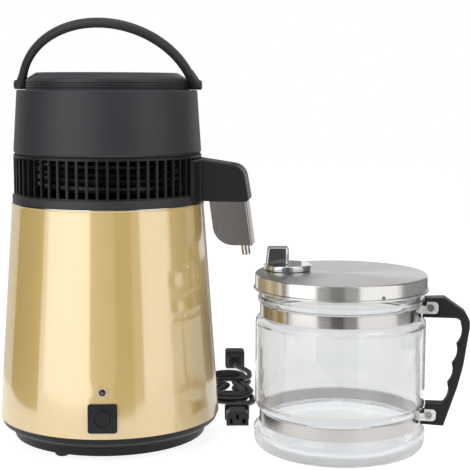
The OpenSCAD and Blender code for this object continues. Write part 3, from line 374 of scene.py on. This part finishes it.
def mouldedPlastic(name, dark, light, roughness, grainMm, grainDepth, shine=0.5):
    # Injection-moulded plastic: an even spark-eroded grain, a shade of drift in the colour where it flowed
    material, tree, shader = startMaterial(name, IOR=1.52, Specular_IOR_Level=shine)
    place = addNode(tree, "ShaderNodeTexCoord")
    grain = addNode(tree, "ShaderNodeTexNoise", {"Vector": place.outputs["Object"],
                                                 "Scale": 1 / (grainMm * mm),
                                                 "Detail": 3.0, "Roughness": 0.6})
    flow = addNode(tree, "ShaderNodeTexNoise", {"Vector": place.outputs["Object"], "Scale": 1 / (30 * mm),
                                                "Detail": 3.0})
    tint = addNode(tree, "ShaderNodeMix", {"Factor": flow.outputs["Fac"], 6: hexColour(dark),
                                           7: hexColour(light)}, data_type="RGBA")
    tree.links.new(tint.outputs[2], shader.inputs["Base Color"])
    rough = addNode(tree, "ShaderNodeMapRange", {"Value": grain.outputs["Fac"], "To Min": roughness - 0.06,
                                                 "To Max": roughness + 0.06})
    tree.links.new(rough.outputs["Result"], shader.inputs["Roughness"])
    bump = addNode(tree, "ShaderNodeBump", {"Height": grain.outputs["Fac"], "Strength": 0.3,
                                            "Distance": grainDepth * mm})
    tree.links.new(bump.outputs["Normal"], shader.inputs["Normal"])
    return material


def brushedSteel(name, dark, light, roughness, centre, metal=1.0):
    # Stainless sheet polished on a lathe: fine rings round the axis, which fan the light out on flat tops
    # the real rings are too fine to show, so they are drawn at 0.8 mm
    material, tree, shader = startMaterial(name, Metallic=metal, Anisotropic=0.75, Anisotropic_Rotation=0.25)
    place = addNode(tree, "ShaderNodeTexCoord")
    moved = addNode(tree, "ShaderNodeMapping", {"Vector": place.outputs["Object"],
                                                "Location": (-centre[0] * mm, -centre[1] * mm, 0)})
    apart = addNode(tree, "ShaderNodeSeparateXYZ", {0: moved.outputs["Vector"]})
    flat = addNode(tree, "ShaderNodeCombineXYZ", {"X": apart.outputs["X"], "Y": apart.outputs["Y"]})
    reach = addNode(tree, "ShaderNodeVectorMath", {0: flat.outputs[0]}, operation="LENGTH")
    line = addNode(tree, "ShaderNodeMath", {0: reach.outputs["Value"], 1: apart.outputs["Z"]},
                   operation="ADD")
    lines = addNode(tree, "ShaderNodeTexNoise", {"W": line.outputs[0], "Scale": 1 / (0.8 * mm),
                                                 "Detail": 3.0}, noise_dimensions="1D")
    tint = addNode(tree, "ShaderNodeMix", {"Factor": lines.outputs["Fac"], 6: hexColour(dark),
                                           7: hexColour(light)}, data_type="RGBA")
    tree.links.new(tint.outputs[2], shader.inputs["Base Color"])
    rough = addNode(tree, "ShaderNodeMapRange", {"Value": lines.outputs["Fac"], "To Min": roughness - 0.06,
                                                 "To Max": roughness + 0.08})
    tree.links.new(rough.outputs["Result"], shader.inputs["Roughness"])
    way = addNode(tree, "ShaderNodeTangent", direction_type="RADIAL", axis="Z")
    tree.links.new(way.outputs[0], shader.inputs["Tangent"])
    return material


def plainMetal(name, dark, light, roughness, grainMm, metal=1.0):
    # Bare or plated metal: small clouds of handling dull its shine here and there
    material, tree, shader = startMaterial(name, Metallic=metal)
    place = addNode(tree, "ShaderNodeTexCoord")
    cloud = addNode(tree, "ShaderNodeTexNoise", {"Vector": place.outputs["Object"],
                                                 "Scale": 1 / (grainMm * mm), "Detail": 3.0})
    tint = addNode(tree, "ShaderNodeMix", {"Factor": cloud.outputs["Fac"], 6: hexColour(dark),
                                           7: hexColour(light)}, data_type="RGBA")
    tree.links.new(tint.outputs[2], shader.inputs["Base Color"])
    rough = addNode(tree, "ShaderNodeMapRange", {"Value": cloud.outputs["Fac"], "To Min": roughness * 0.7,
                                                 "To Max": roughness * 1.4})
    tree.links.new(rough.outputs["Result"], shader.inputs["Roughness"])
    return material


def satinSteel(name, dark, light, roughness):
    # Folded stainless sheet with a mill grain that runs up and down: dull grey with a soft sheen
    material, tree, shader = startMaterial(name, Metallic=1.0)
    place = addNode(tree, "ShaderNodeTexCoord")
    drawn = addNode(tree, "ShaderNodeMapping", {"Vector": place.outputs["Object"], "Scale": (1, 1, 0.06)})
    grain = addNode(tree, "ShaderNodeTexNoise", {"Vector": drawn.outputs["Vector"], "Scale": 1 / (0.8 * mm),
                                                 "Detail": 3.0})
    tint = addNode(tree, "ShaderNodeMix", {"Factor": grain.outputs["Fac"], 6: hexColour(dark),
                                           7: hexColour(light)}, data_type="RGBA")
    tree.links.new(tint.outputs[2], shader.inputs["Base Color"])
    rough = addNode(tree, "ShaderNodeMapRange", {"Value": grain.outputs["Fac"], "To Min": roughness - 0.05,
                                                 "To Max": roughness + 0.07})
    tree.links.new(rough.outputs["Result"], shader.inputs["Roughness"])
    return material


def lampLens():
    # Tinted acrylic dome over a neon bulb: near black at the rim, and a painted rose highlight in its middle
    material, tree, shader = startMaterial("lampLens", Roughness=0.1, IOR=1.49)
    low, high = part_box("lamp_lens")
    middle = (Vector(low) + Vector(high)) / 2
    place = addNode(tree, "ShaderNodeTexCoord")
    moved = addNode(tree, "ShaderNodeMapping", {"Vector": place.outputs["Object"],
                                                "Location": (-middle.x, 0, -middle.z), "Scale": (1, 0, 1)})
    fromPaintedGlint = addNode(tree, "ShaderNodeVectorMath", {0: moved.outputs["Vector"]}, operation="LENGTH")
    paintedGlintFade = addNode(tree, "ShaderNodeMapRange", {"Value": fromPaintedGlint.outputs["Value"], "From Min": 0.6 * mm,
                                                  "From Max": 1.7 * mm})
    # the rose middle is a painted highlight; away from it the dome fades to its dark tint
    tint = addNode(tree, "ShaderNodeMix", {"Factor": paintedGlintFade.outputs["Result"], 6: hexColour("#8a5f6b"),
                                           7: hexColour("#2a0b10")}, data_type="RGBA")
    tree.links.new(tint.outputs[2], shader.inputs["Base Color"])
    return material


def clearGlass():
    # Pressed soda-lime glass: clear with a grey cast in its thickness, and the waviness of a mould
    # its IOR is set below the usual 1.52, so that the wall looks as thin as the real one
    material, tree, shader = startMaterial("clearGlass", Transmission_Weight=0.92, Roughness=0.03, IOR=1.22,
                                           Coat_Weight=0.7, Coat_Roughness=0.02)
    shader.inputs["Base Color"].default_value = hexColour("#eeeff0")
    place = addNode(tree, "ShaderNodeTexCoord")
    wave = addNode(tree, "ShaderNodeTexNoise", {"Vector": place.outputs["Object"], "Scale": 1 / (25 * mm),
                                                "Detail": 1.0})
    bump = addNode(tree, "ShaderNodeBump", {"Height": wave.outputs["Fac"], "Strength": 0.08,
                                            "Distance": 0.3 * mm})
    tree.links.new(bump.outputs["Normal"], shader.inputs["Normal"])
    return material


def frostedGlass():
    # The thick foot of the jar, left rough by the mould: milky, with hardly a line of refraction
    material, tree, shader = startMaterial("frostedGlass", Transmission_Weight=0.92, IOR=1.16)
    place = addNode(tree, "ShaderNodeTexCoord")
    cloud = addNode(tree, "ShaderNodeTexNoise", {"Vector": place.outputs["Object"], "Scale": 1 / (18 * mm),
                                                 "Detail": 2.0})
    tint = addNode(tree, "ShaderNodeMix", {"Factor": cloud.outputs["Fac"], 6: hexColour("#f8fafc"),
                                           7: hexColour("#fcfdfe")}, data_type="RGBA")
    tree.links.new(tint.outputs[2], shader.inputs["Base Color"])
    rough = addNode(tree, "ShaderNodeMapRange", {"Value": cloud.outputs["Fac"], "To Min": 0.46,
                                                 "To Max": 0.58})
    tree.links.new(rough.outputs["Result"], shader.inputs["Roughness"])
    return material


carafeCentre = (238.8, -46.6)    # the carafe's axis, in mm

# one finish for each of the record's material slots
finishes = {
    "gold_body": goldLacquer(),
    "charcoal_plastic": mouldedPlastic("charcoalAbs", "#27272b", "#2f2f33", 0.5, 0.7, 0.04, 0.4),
    "black_plastic": mouldedPlastic("blackAbs", "#19191b", "#202022", 0.42, 0.7, 0.04, 0.25),
    "gloss_black": mouldedPlastic("switchAbs", "#121418", "#181a1e", 0.3, 0.5, 0.02, 0.3),
    "brushed_steel": brushedSteel("brushedStainless", "#bcb9b6", "#cbc8c5", 0.2, carafeCentre),
    "chrome": plainMetal("chromePlate", "#cfd1d3", "#dcdee0", 0.07, 12),
    "cast_aluminium": plainMetal("castAluminium", "#a8aaac", "#b8babc", 0.4, 3),
    "rubber": mouldedPlastic("softRubber", "#121213", "#19191a", 0.7, 0.6, 0.05),
    "silicone": mouldedPlastic("silicone", "#cfcabe", "#dad5c9", 0.5, 0.9, 0.02),
    "lamp_red": lampLens(),
    "clear_glass": clearGlass(),
    "white_plastic": mouldedPlastic("filterPolypropylene", "#dcdad4", "#e8e6e0", 0.45, 0.9, 0.03),
    "cord_black": mouldedPlastic("cordPvc", "#141416", "#1b1b1d", 0.42, 0.6, 0.03),
}

# finishes of single pieces
lidSteel = brushedSteel("spunStainless", "#b2b0ae", "#c1bfbd", 0.33, carafeCentre)
# the lid's upright side gets a smoother, lighter and partly matt copy of its steel: the polish is real, the
# lighter colour is painted light
rimSteelPaintedLight = brushedSteel("rimStainlessPaintedLight", "#cbc9c6", "#d9d7d4", 0.2, carafeCentre, 0.8)
shieldSteel = satinSteel("satinStainless", "#96918e", "#a39e9b", 0.24)
polishedSteel = plainMetal("polishedStainless", "#c3c0bc", "#d2cfcb", 0.14, 9)
# the coil, steam dome, riser and drip parts inside the head get a darkened metal: painted shade
shadedInnerMetal = plainMetal("innerMetalDarkenedAsShade", "#4c4c4d", "#606061", 0.3, 4)
baseAbs = mouldedPlastic("baseAbs", "#141416", "#19191b", 0.4, 0.7, 0.04, 0.25)
# near-black plastic for the fan, motor, bracket and rear sheet inside the head: painted shade
shadowAbs = mouldedPlastic("interiorShadeAbs", "#0f0f10", "#151516", 0.6, 0.7, 0.04, 0.25)
lampBrass = plainMetal("lampBrass", "#ead8c8", "#f4e6da", 0.3, 3)
# the ears get a lighter, partly matt copy of the band's steel: painted reflection of the white they mirror
earSteelPaintedReflection = plainMetal("earStainlessPaintedReflection", "#dddbd8", "#eae8e5", 0.28, 3, 0.55)
screwZinc = plainMetal("screwZinc", "#8b8987", "#9c9a98", 0.25, 2)
ownFinish = {
    "outlet_tube": polishedSteel, "lamp_bezel": lampBrass,
    "condenser_coil": shadedInnerMetal, "steam_dome": shadedInnerMetal, "steam_riser": shadedInnerMetal, "drip_cup": shadedInnerMetal,
    "drip_tube": shadedInnerMetal, "motor_bracket": shadowAbs, "fan_rotor": shadowAbs, "fan_motor": shadowAbs,
}


def dressNodes():
    for row in frame["record"]["subparts"]:
        piece = nodes[row["node"]]
        piece.data.materials.clear()
        piece.data.materials.append(ownFinish.get(row["node"]) or finishes[row["material_slot"]])


dressNodes()
cord.data.materials.append(finishes["cord_black"])
settle(plugBody, "boiler", "cord_black", "mains_plug")
settle(connectorBody, "boiler", "cord_black", "cord_connector")
print("nodes and cord dressed")


# Boiler: rolled edges of the gold body, base ring, switch

bodySet = {
    "topR": 99.0, "topZ": 248.0, "bottomR": 115.0, "bottomZ": 26.5,
    "roll": 0.9,             # half the thickness of the rolled edges
    "topRollIn": 0.1, "footRollIn": 0.95,
    "baseInR": 97.5, "baseFootR": 100.0, "baseLow": 5.0, "baseWaist": 13.0,
    "baseLean": 0.5, "baseStepW": 3.5, "baseStepH": 1.5,
    "rimLow": 20.5, "rimLowR": 112.5, "rimIn": 0.8, "rimEdge": 0.3, "rimSeat": 4.0,
    "baseInRise": 5.0,
}
switchSet = {"plateGrain": 0.25, "platePasses": 4, "buttonRound": 0.4}


def makeBody():
    s = bodySet
    k = s["roll"]
    for name, r, z in (("bodyTopRoll", s["topR"] - s["topRollIn"], s["topZ"] - k),
                       ("bodyFootRoll", s["bottomR"] - s["footRollIn"], s["bottomZ"] + k)):
        corners = [(r - k, z - k), (r + k, z - k), (r + k, z + k), (r - k, z + k)]
        square = [(x, y, k * 0.99) for x, y in corners]
        settle(turned(name, rounded(square)), "boiler", "gold_body")
    base = [(s["baseInR"], s["baseLow"], 0.5), (s["baseFootR"], s["baseLow"], 1.2),
            (s["baseFootR"] + s["baseLean"], s["baseWaist"], 1.2),
            (s["baseFootR"] + s["baseStepW"], s["baseWaist"] + s["baseStepH"], 2.0),
            (s["rimLowR"], s["rimLow"], 1.8),
            (s["bottomR"] - s["rimIn"] + 0.2, s["bottomZ"] - s["rimEdge"], 0.2),
            (s["bottomR"] - s["rimIn"], s["bottomZ"], 0), (s["bottomR"] - s["rimSeat"], s["bottomZ"], 0),
            (s["baseInR"], s["baseWaist"] + s["baseInRise"], 0)]
    settle(turned("baseRing", rounded(base)), "boiler", "charcoal_plastic", "base_ring", finish=baseAbs)
    plate = mouldedCopy("switchPlate", "switch_bezel", switchSet["plateGrain"], switchSet["platePasses"])
    settle(plate, "boiler", "gloss_black", "switch_bezel")
    button = softCopy("pushButton", "power_button", switchSet["buttonRound"])
    settle(button, "button", "gloss_black", "power_button")


makeBody()
print("boiler made")


# Head: collar, skirt, ribbed cap, spout, bail and a dark rear sheet of painted shade

headSet = {
    "wall": 2.4,
    "collarR": 98.5, "collarInR": 86.0, "collarLow": 249.0, "collarTop": 257.3,
    "collarLipW": 2.2, "collarLipH": 3.6,
    "skirtLow": 298.0, "skirtLowR": 96.7, "skirtInR": 92.8, "skirtLip": 1.8, "skirtLipH": 3.5,
    "skirtTop": 363.5, "skirtTopR": 92.6, "skirtMouthR": 70.0, "skirtRound": 1.5,
    "capR": 83.0, "capTop": 381.0, "capSlopeW": 10.5, "capSlopeH": 6.5, "capInDrop": 9.0,
    "ribs": 3, "ribFrom": 1.2, "ribPitch": 2.5, "ribDepth": 0.7,
}
shadeSheetSet = {"innerR": 86.1, "outerR": 86.9, "low": 257.5, "top": 297.4, "behind": 12.0}
spoutSet = {"grain": 0.7, "passes": 14, "shieldRound": 0.35}
bailSet = {"grain": 0.6, "passes": 10}


def makeHead():
    s = headSet
    w = s["wall"]
    lipTop = s["collarLow"] + s["collarLipH"]
    collar = [(s["collarInR"], lipTop, 0), (s["collarR"] - s["collarLipW"] - 0.2, lipTop, 0),
              (s["collarR"] - s["collarLipW"], s["collarLow"], 0.3), (s["collarR"], s["collarLow"], 0.6),
              (s["collarR"], s["collarTop"], 1.4), (s["collarInR"], s["collarTop"], 0)]
    settle(turned("headCollar", rounded(collar)), "head", "charcoal_plastic", "head_base")
    skirt = [(s["skirtInR"], s["skirtLow"], 0), (s["skirtLowR"] - s["skirtLip"], s["skirtLow"], 0.5),
             (s["skirtLowR"], s["skirtLow"] + s["skirtLipH"], 0.8),
             (s["skirtTopR"], s["skirtTop"], s["skirtRound"]), (s["skirtMouthR"], s["skirtTop"], 0),
             (s["skirtMouthR"], s["skirtTop"] - w, 0), (s["skirtTopR"] - w, s["skirtTop"] - w, 0)]
    settle(turned("headSkirt", rounded(skirt)), "head", "charcoal_plastic", "head_skirt")
    cap = [(s["capR"] - w, s["skirtTop"], 0), (s["capR"], s["skirtTop"], 0)]
    for i in range(s["ribs"]):
        z = s["skirtTop"] + s["ribFrom"] + s["ribPitch"] * i
        cap += [(s["capR"], z, 0.25), (s["capR"] - s["ribDepth"], z + 0.5, 0.2),
                (s["capR"] - s["ribDepth"], z + 0.9, 0.2), (s["capR"], z + 1.4, 0.25)]
    cap += [(s["capR"], s["capTop"] - s["capSlopeH"], 3.5), (s["capR"] - s["capSlopeW"], s["capTop"], 3.0),
            (axisR, s["capTop"], 0), (axisR, s["capTop"] - w, 0),
            (s["capR"] - s["capSlopeW"] - 0.7, s["capTop"] - w, 0),
            (s["capR"] - w, s["capTop"] - s["capInDrop"], 0)]
    settle(turned("headCap", rounded(cap)), "head", "charcoal_plastic", "head_cap")


def makeSpout():
    s = spoutSet
    body = mouldedCopy("spoutBody", "spout_housing", s["grain"], s["passes"])
    settle(body, "head", "black_plastic", "spout_housing")
    shield = softCopy("spoutShield", "spout_shield", s["shieldRound"], 2)
    settle(shield, "head", "brushed_steel", "spout_shield", finish=shieldSteel)


def makeBail():
    bail = mouldedCopy("carryBail", "carry_handle", bailSet["grain"], bailSet["passes"])
    settle(bail, "bail", "charcoal_plastic", "carry_handle")


def makeShadeSheet():
    # a thin dark sheet behind the rear half of the grille: painted shade, so that no daylight shows through it
    s = shadeSheetSet
    shadeSheet = turned("rearShadeSheet", [(s["innerR"], s["low"]), (s["outerR"], s["low"]),
                                   (s["outerR"], s["top"]), (s["innerR"], s["top"])])
    bpy.ops.object.mode_set(mode="EDIT")
    bpy.ops.mesh.select_all(action="SELECT")
    bpy.ops.mesh.bisect(plane_co=(0, s["behind"] * mm, 0), plane_no=(0, 1, 0), use_fill=True,
                        clear_inner=True)
    bpy.ops.object.mode_set(mode="OBJECT")
    settle(shadeSheet, "head", "charcoal_plastic", finish=shadowAbs)


makeHead()
makeSpout()
makeBail()
makeShadeSheet()
print("head made")


# Carafe: glass jar, lid, turning cap, handle and bands

carafeSet = {
    "baseR": 87.5, "wallR": 86.5, "grooveR": 81.0, "wall": 2.4, "floor": 8.0, "height": 175.3,
    "lowerGroove": (26.0, 40.2), "upperGroove": (136.5, 150.7), "bead": 3.0,
    "frostBelow": 3.0,       # the foot is frosted from this far under the lower groove
    "gripGrain": 0.6, "gripPasses": 12,
}
lidSet = {
    "r": 87.3, "top": 180.0, "low": 163.7, "sheet": 0.8, "lip": 1.5, "lipH": 2.2, "lipRound": 0.96,
    "ventTurn": -68.6, "ventR": 2.0, "ventRise": 4.2, "ventDepth": 8.0,
}
strapSet = {
    "round": 0.25,
    "earFrom": 84.5,         # from here outwards a band is its folded ear
}


def makeJar():
    s = carafeSet
    low, lowTop = s["lowerGroove"]
    up, upTop = s["upperGroove"]
    g, w, bead = s["grooveR"], s["wall"], s["bead"]
    top = s["height"]
    jar = [(axisR, 0, 0), (s["baseR"], 0, 11.5), (s["baseR"], low - 5, 1.6),
           (g + 2, low, 0.4), (g, low, 0.4), (g, lowTop, 0.5), (g + 1.6, lowTop, 0.4),
           (s["wallR"], lowTop + 6, 3.5), (s["wallR"], up - 3.4, 4.5),
           (g + 0.6, up, 0.4), (g, up, 0.3), (g, upTop, 0.2),
           (g + bead, upTop + 0.6, 2.0), (g + bead, upTop + 2 * bead, 2.0), (g, upTop + 2 * bead + 0.6, 0.6),
           (g, top - 7, 1.2), (g + bead, top - 5, 1.2), (g + bead, top, 1.2),
           (g - w, top, 1.2), (g - w, up - 3, 3), (s["wallR"] - w, up - 9, 3),
           (s["wallR"] - w, lowTop + 10, 3), (g - w, lowTop + 2, 2), (g - w, s["floor"], 10),
           (axisR, s["floor"], 0)]
    glass = turned("glassJar", rounded(jar), carafeCentre)
    settle(glass, "carafe", "clear_glass", "carafe_glass")
    glass.data.materials.append(frostedGlass())
    for face in glass.data.polygons:
        if face.center.z < (low - s["frostBelow"]) * mm and face.normal.z < 0.2:
            face.material_index = 1


def ventHole(lid):
    # a small steam hole through the side of the lid
    s = lidSet
    way = math.radians(s["ventTurn"])
    out = Vector((math.cos(way), math.sin(way), 0))
    middle = Vector((*carafeCentre, s["low"] + s["ventRise"])) + out * s["r"]
    place = Matrix.Translation(middle * mm) @ out.to_track_quat("Z", "Y").to_matrix().to_4x4()
    cutHole(lid, 24, s["ventR"], s["ventDepth"], place)
    smoothShade(lid)


def makeLid():
    s = lidSet
    r, low, top, t = s["r"], s["low"], s["top"], s["sheet"]
    lipR = r + s["lip"]
    lid = [(axisR, top, 0), (r, top, 2.0), (r, low + s["lipH"] + 0.4, 0.4),
           (lipR, low + s["lipH"], s["lipRound"]), (lipR, low, s["lipRound"]),
           (r - t, low, 0.3), (r - t, top - t, 1.2), (axisR, top - t, 0)]
    steelLid = turned("steelLid", rounded(lid), carafeCentre)
    ventHole(steelLid)
    settle(steelLid, "lid", "brushed_steel", "carafe_lid", finish=lidSteel)
    steelLid.data.materials.append(rimSteelPaintedLight)
    # the upright side takes the lighter copy of the steel: painted light
    for face in steelLid.data.polygons:
        if abs(face.normal.z) < 0.6:         # its upright side
            face.material_index = 1


capSet = {
    "middle": (185.96, -26.32), "seat": 180.3, "r": 24.4, "h": 6.0, "spigotR": 15.7, "spigot": 4.0,
    "gripDepth": 18.7, "gripW": 21.0, "gripH": 17.3, "gripLeft": 20.4, "gripLean": 2.0,
    "gripRound": 1.3, "gripSide": 3.4,
}


def makeCap():
    s = capSet
    top = s["seat"] + s["h"]
    low = s["seat"] - s["spigot"]
    disc = [(axisR, low, 0), (s["spigotR"], low, 0.4), (s["spigotR"], s["seat"], 0),
            (s["r"], s["seat"], 0.6), (s["r"], top, 1.8), (axisR, top, 0)]
    cap = turned("turningCap", rounded(disc), s["middle"], 96)
    deselectAll()
    bpy.ops.mesh.primitive_cube_add(size=s["gripDepth"] * mm)
    grip = bpy.context.object
    bpy.ops.object.mode_set(mode="EDIT")
    bpy.ops.mesh.select_all(action="SELECT")
    bpy.ops.transform.resize(value=(s["gripW"] / s["gripDepth"], 1, s["gripH"] / s["gripDepth"]))
    x, y = s["middle"]
    bpy.ops.transform.translate(value=((x - s["gripLeft"] + s["gripW"] / 2) * mm, y * mm,
                                       (top + s["gripH"] / 2) * mm))
    bpy.ops.mesh.select_mode(type="EDGE")
    bpy.ops.mesh.select_all(action="DESELECT")
    bpy.ops.object.mode_set(mode="OBJECT")
    # its left foot leans outwards, and its right upright edges get a wider round
    corners = grip.data.vertices
    leftX = min(v.co.x for v in corners)
    for vertex in corners:
        if vertex.co.x < leftX + 0.1 * mm and vertex.co.z < (top + 1) * mm:
            vertex.co.x -= s["gripLean"] * mm
    for edge in grip.data.edges:
        a, b = (corners[i].co for i in edge.vertices)
        edge.select = min(a.x, b.x) > leftX + 1 * mm and abs(a.z - b.z) > 1 * mm
    bpy.ops.object.mode_set(mode="EDIT")
    bpy.ops.mesh.bevel(offset=s["gripSide"] * mm, segments=5)
    bpy.ops.mesh.select_mode(type="VERT")
    bpy.ops.object.mode_set(mode="OBJECT")
    roundEdges(grip, s["gripRound"], 4)
    makeActive(cap)
    grip.select_set(True)
    bpy.ops.object.join()
    keepFlat(cap)
    settle(cap, "cap", "chrome", "lid_cap")


def makeStrap(name, node):
    strap = softCopy(name, node, strapSet["round"], 2)
    settle(strap, "carafe", "brushed_steel", node)
    # the folded ears take the lighter copy of the steel: painted reflection
    strap.data.materials.append(earSteelPaintedReflection)
    for face in strap.data.polygons:
        reach = Vector((face.center.x, face.center.y)) - Vector(carafeCentre) * mm
        if reach.length > strapSet["earFrom"] * mm:
            face.material_index = 1


screwSet = {
    "round": 0.45, "turn": -9.5,
    "reach": 90.9, "front": 10.35, "levels": (37.1, 147.6),    # middles of the heads, from the carafe's axis
    "recessR": 1.8, "recess": 0.9,
}


def makeScrews():
    # pan heads with a six-sided recess
    s = screwSet
    screws = softCopy("handleScrews", "handle_screws", s["round"])
    axis = Matrix.Translation(Vector((*carafeCentre, 0)) * mm)
    turn = axis @ Matrix.Rotation(math.radians(s["turn"]), 4, "Z")
    for z in s["levels"]:
        place = Matrix.Translation(Vector((s["reach"], -s["front"], z)) * mm)
        aim = turn @ place @ Matrix.Rotation(math.radians(90), 4, "X")
        cutHole(screws, 6, s["recessR"], 2 * s["recess"], aim)
    keepFlat(screws)
    settle(screws, "carafe", "brushed_steel", "handle_screws", finish=screwZinc)


def makeHandle():
    grip = mouldedCopy("carafeGrip", "carafe_handle", carafeSet["gripGrain"], carafeSet["gripPasses"])
    settle(grip, "carafe", "black_plastic", "carafe_handle")
    makeStrap("upperStrap", "upper_band")
    makeStrap("lowerStrap", "lower_band")
    makeScrews()


makeJar()
makeLid()
makeCap()
makeHandle()
print("carafe made")


# Studio: a pale floor, a white surround, two bright screens and dark cards for the metal to mirror

studioSet = {
    "fill": 0.4,             # light from all round; what is seen of the surround is white
    "floorSize": 12.0, "floorPlace": (0.1, 2.0, -0.0004), "floorGrey": 0.9,
    "floorShare": 0.7, "floorGlow": 1.27,      # how much of the floor's white is its own
    "lampTarget": (0.1, 0, 0.2),
}
# start and end on the floor, height and strength
studioCards = {
    "leftGlow": ((-0.535, -0.272), (-0.155, -0.58), 1.6, 1.85),
    "rightGlow": ((0.352, -0.487), (0.94, -0.29), 1.6, 1.38),
    "frontCard": ((-0.215, -0.592), (0.36, -0.475), 1.6, 0.34),
    "cameraCard": ((0.087, -0.492), (0.227, -0.446), 1.2, 0.08),
    "leftCard": ((-0.376, 0.137), (-0.365, -0.163), 1.6, 0.05),
    "farLeftCard": ((-0.104, 0.386), (-0.374, 0.142), 1.6, 0.7),
    "rightCard": ((0.97, -0.24), (0.75, 0.6), 1.6, 0.2),
    "rearCard": ((0.225, 0.268), (0.03, 0.35), 0.45, 0.3),
    "lowRightCard": ((0.48, 0.12), (0.235, 0.262), 0.16, 0.15),
}
# place, width and height, power
studioLamps = {
    "leftSoftbox": ((-1.1, -1.1, 1.0), (0.9, 1.4), 14.0),
    "rightSoftbox": ((1.3, -0.8, 1.0), (0.7, 1.4), 10.0),
    "topSoftbox": ((0.1, 0.1, 1.6), (1.4, 1.2), 12.0),
}


def shownRays(tree):
    # 1 for rays that show the surround: straight to the camera, in a reflection or through glass
    ray = addNode(tree, "ShaderNodeLightPath")
    seen = addNode(tree, "ShaderNodeMath", {0: ray.outputs["Is Camera Ray"], 1: ray.outputs["Is Glossy Ray"]},
                   operation="MAXIMUM")
    shown = addNode(tree, "ShaderNodeMath", {0: seen.outputs[0], 1: ray.outputs["Is Transmission Ray"]},
                    operation="MAXIMUM")
    return shown.outputs[0]


def makeWorld():
    world = bpy.data.worlds.new("studioWorld")
    bpy.context.scene.world = world
    world.use_nodes = True
    tree = world.node_tree
    tree.nodes.clear()
    level = addNode(tree, "ShaderNodeMapRange", {"Value": shownRays(tree), "To Min": studioSet["fill"],
                                                 "To Max": 1.0})
    back = addNode(tree, "ShaderNodeBackground", {"Color": (1, 1, 1, 1), "Strength": level.outputs["Result"]})
    out = addNode(tree, "ShaderNodeOutputWorld")
    tree.links.new(back.outputs[0], out.inputs["Surface"])


def makeFloor():
    s = studioSet
    grey = s["floorGrey"]
    deselectAll()
    bpy.ops.mesh.primitive_plane_add(size=s["floorSize"], location=s["floorPlace"])
    floor = bpy.context.object
    floor.name = "studioFloor"
    material = bpy.data.materials.new("paleFloor")
    material.use_nodes = True
    tree = material.node_tree
    tree.nodes.clear()
    share = addNode(tree, "ShaderNodeMath", {0: shownRays(tree), 1: s["floorShare"]}, operation="MULTIPLY")
    matt = addNode(tree, "ShaderNodeBsdfDiffuse", {"Color": (grey, grey, grey, 1)})
    glow = addNode(tree, "ShaderNodeEmission", {"Color": (1, 1, 1, 1), "Strength": s["floorGlow"]})
    both = addNode(tree, "ShaderNodeMixShader", {0: share.outputs[0], 1: matt.outputs[0], 2: glow.outputs[0]})
    out = addNode(tree, "ShaderNodeOutputMaterial")
    tree.links.new(both.outputs[0], out.inputs["Surface"])
    floor.data.materials.append(material)


def makeCard(name, start, end, height, strength):
    # a standing screen that only reflections show
    deselectAll()
    bpy.ops.mesh.primitive_plane_add(size=1.0)
    card = bpy.context.object
    card.name = name
    a, b = Vector((*start, 0)), Vector((*end, 0))
    rise = Vector((0, 0, height))
    for vertex, place in zip(card.data.vertices, (a, b, a + rise, b + rise)):
        vertex.co = place
    material = bpy.data.materials.new(name + "Grey")
    material.use_nodes = True
    tree = material.node_tree
    tree.nodes.clear()
    glow = addNode(tree, "ShaderNodeEmission", {"Color": (1, 1, 1, 1), "Strength": strength})
    out = addNode(tree, "ShaderNodeOutputMaterial")
    tree.links.new(glow.outputs[0], out.inputs["Surface"])
    card.data.materials.append(material)
    card.visible_camera = False
    card.visible_diffuse = False
    card.visible_transmission = False
    card.visible_shadow = False


def makeLamp(name, place, size, power):
    bpy.ops.object.light_add(type="AREA", location=place)
    lamp = bpy.context.object
    lamp.name = name
    lamp.data.shape = "RECTANGLE"
    lamp.data.size, lamp.data.size_y = size
    lamp.data.energy = power
    towards = Vector(studioSet["lampTarget"]) - Vector(place)
    lamp.rotation_euler = towards.to_track_quat("-Z", "Y").to_euler()
    lamp.visible_glossy = False


makeWorld()
makeFloor()
for name, card in studioCards.items():
    makeCard(name, *card)
for name, lamp in studioLamps.items():
    makeLamp(name, *lamp)
bpy.context.scene.view_settings.view_transform = "Standard"
print("studio lit")

bpy.context.view_layer.update()
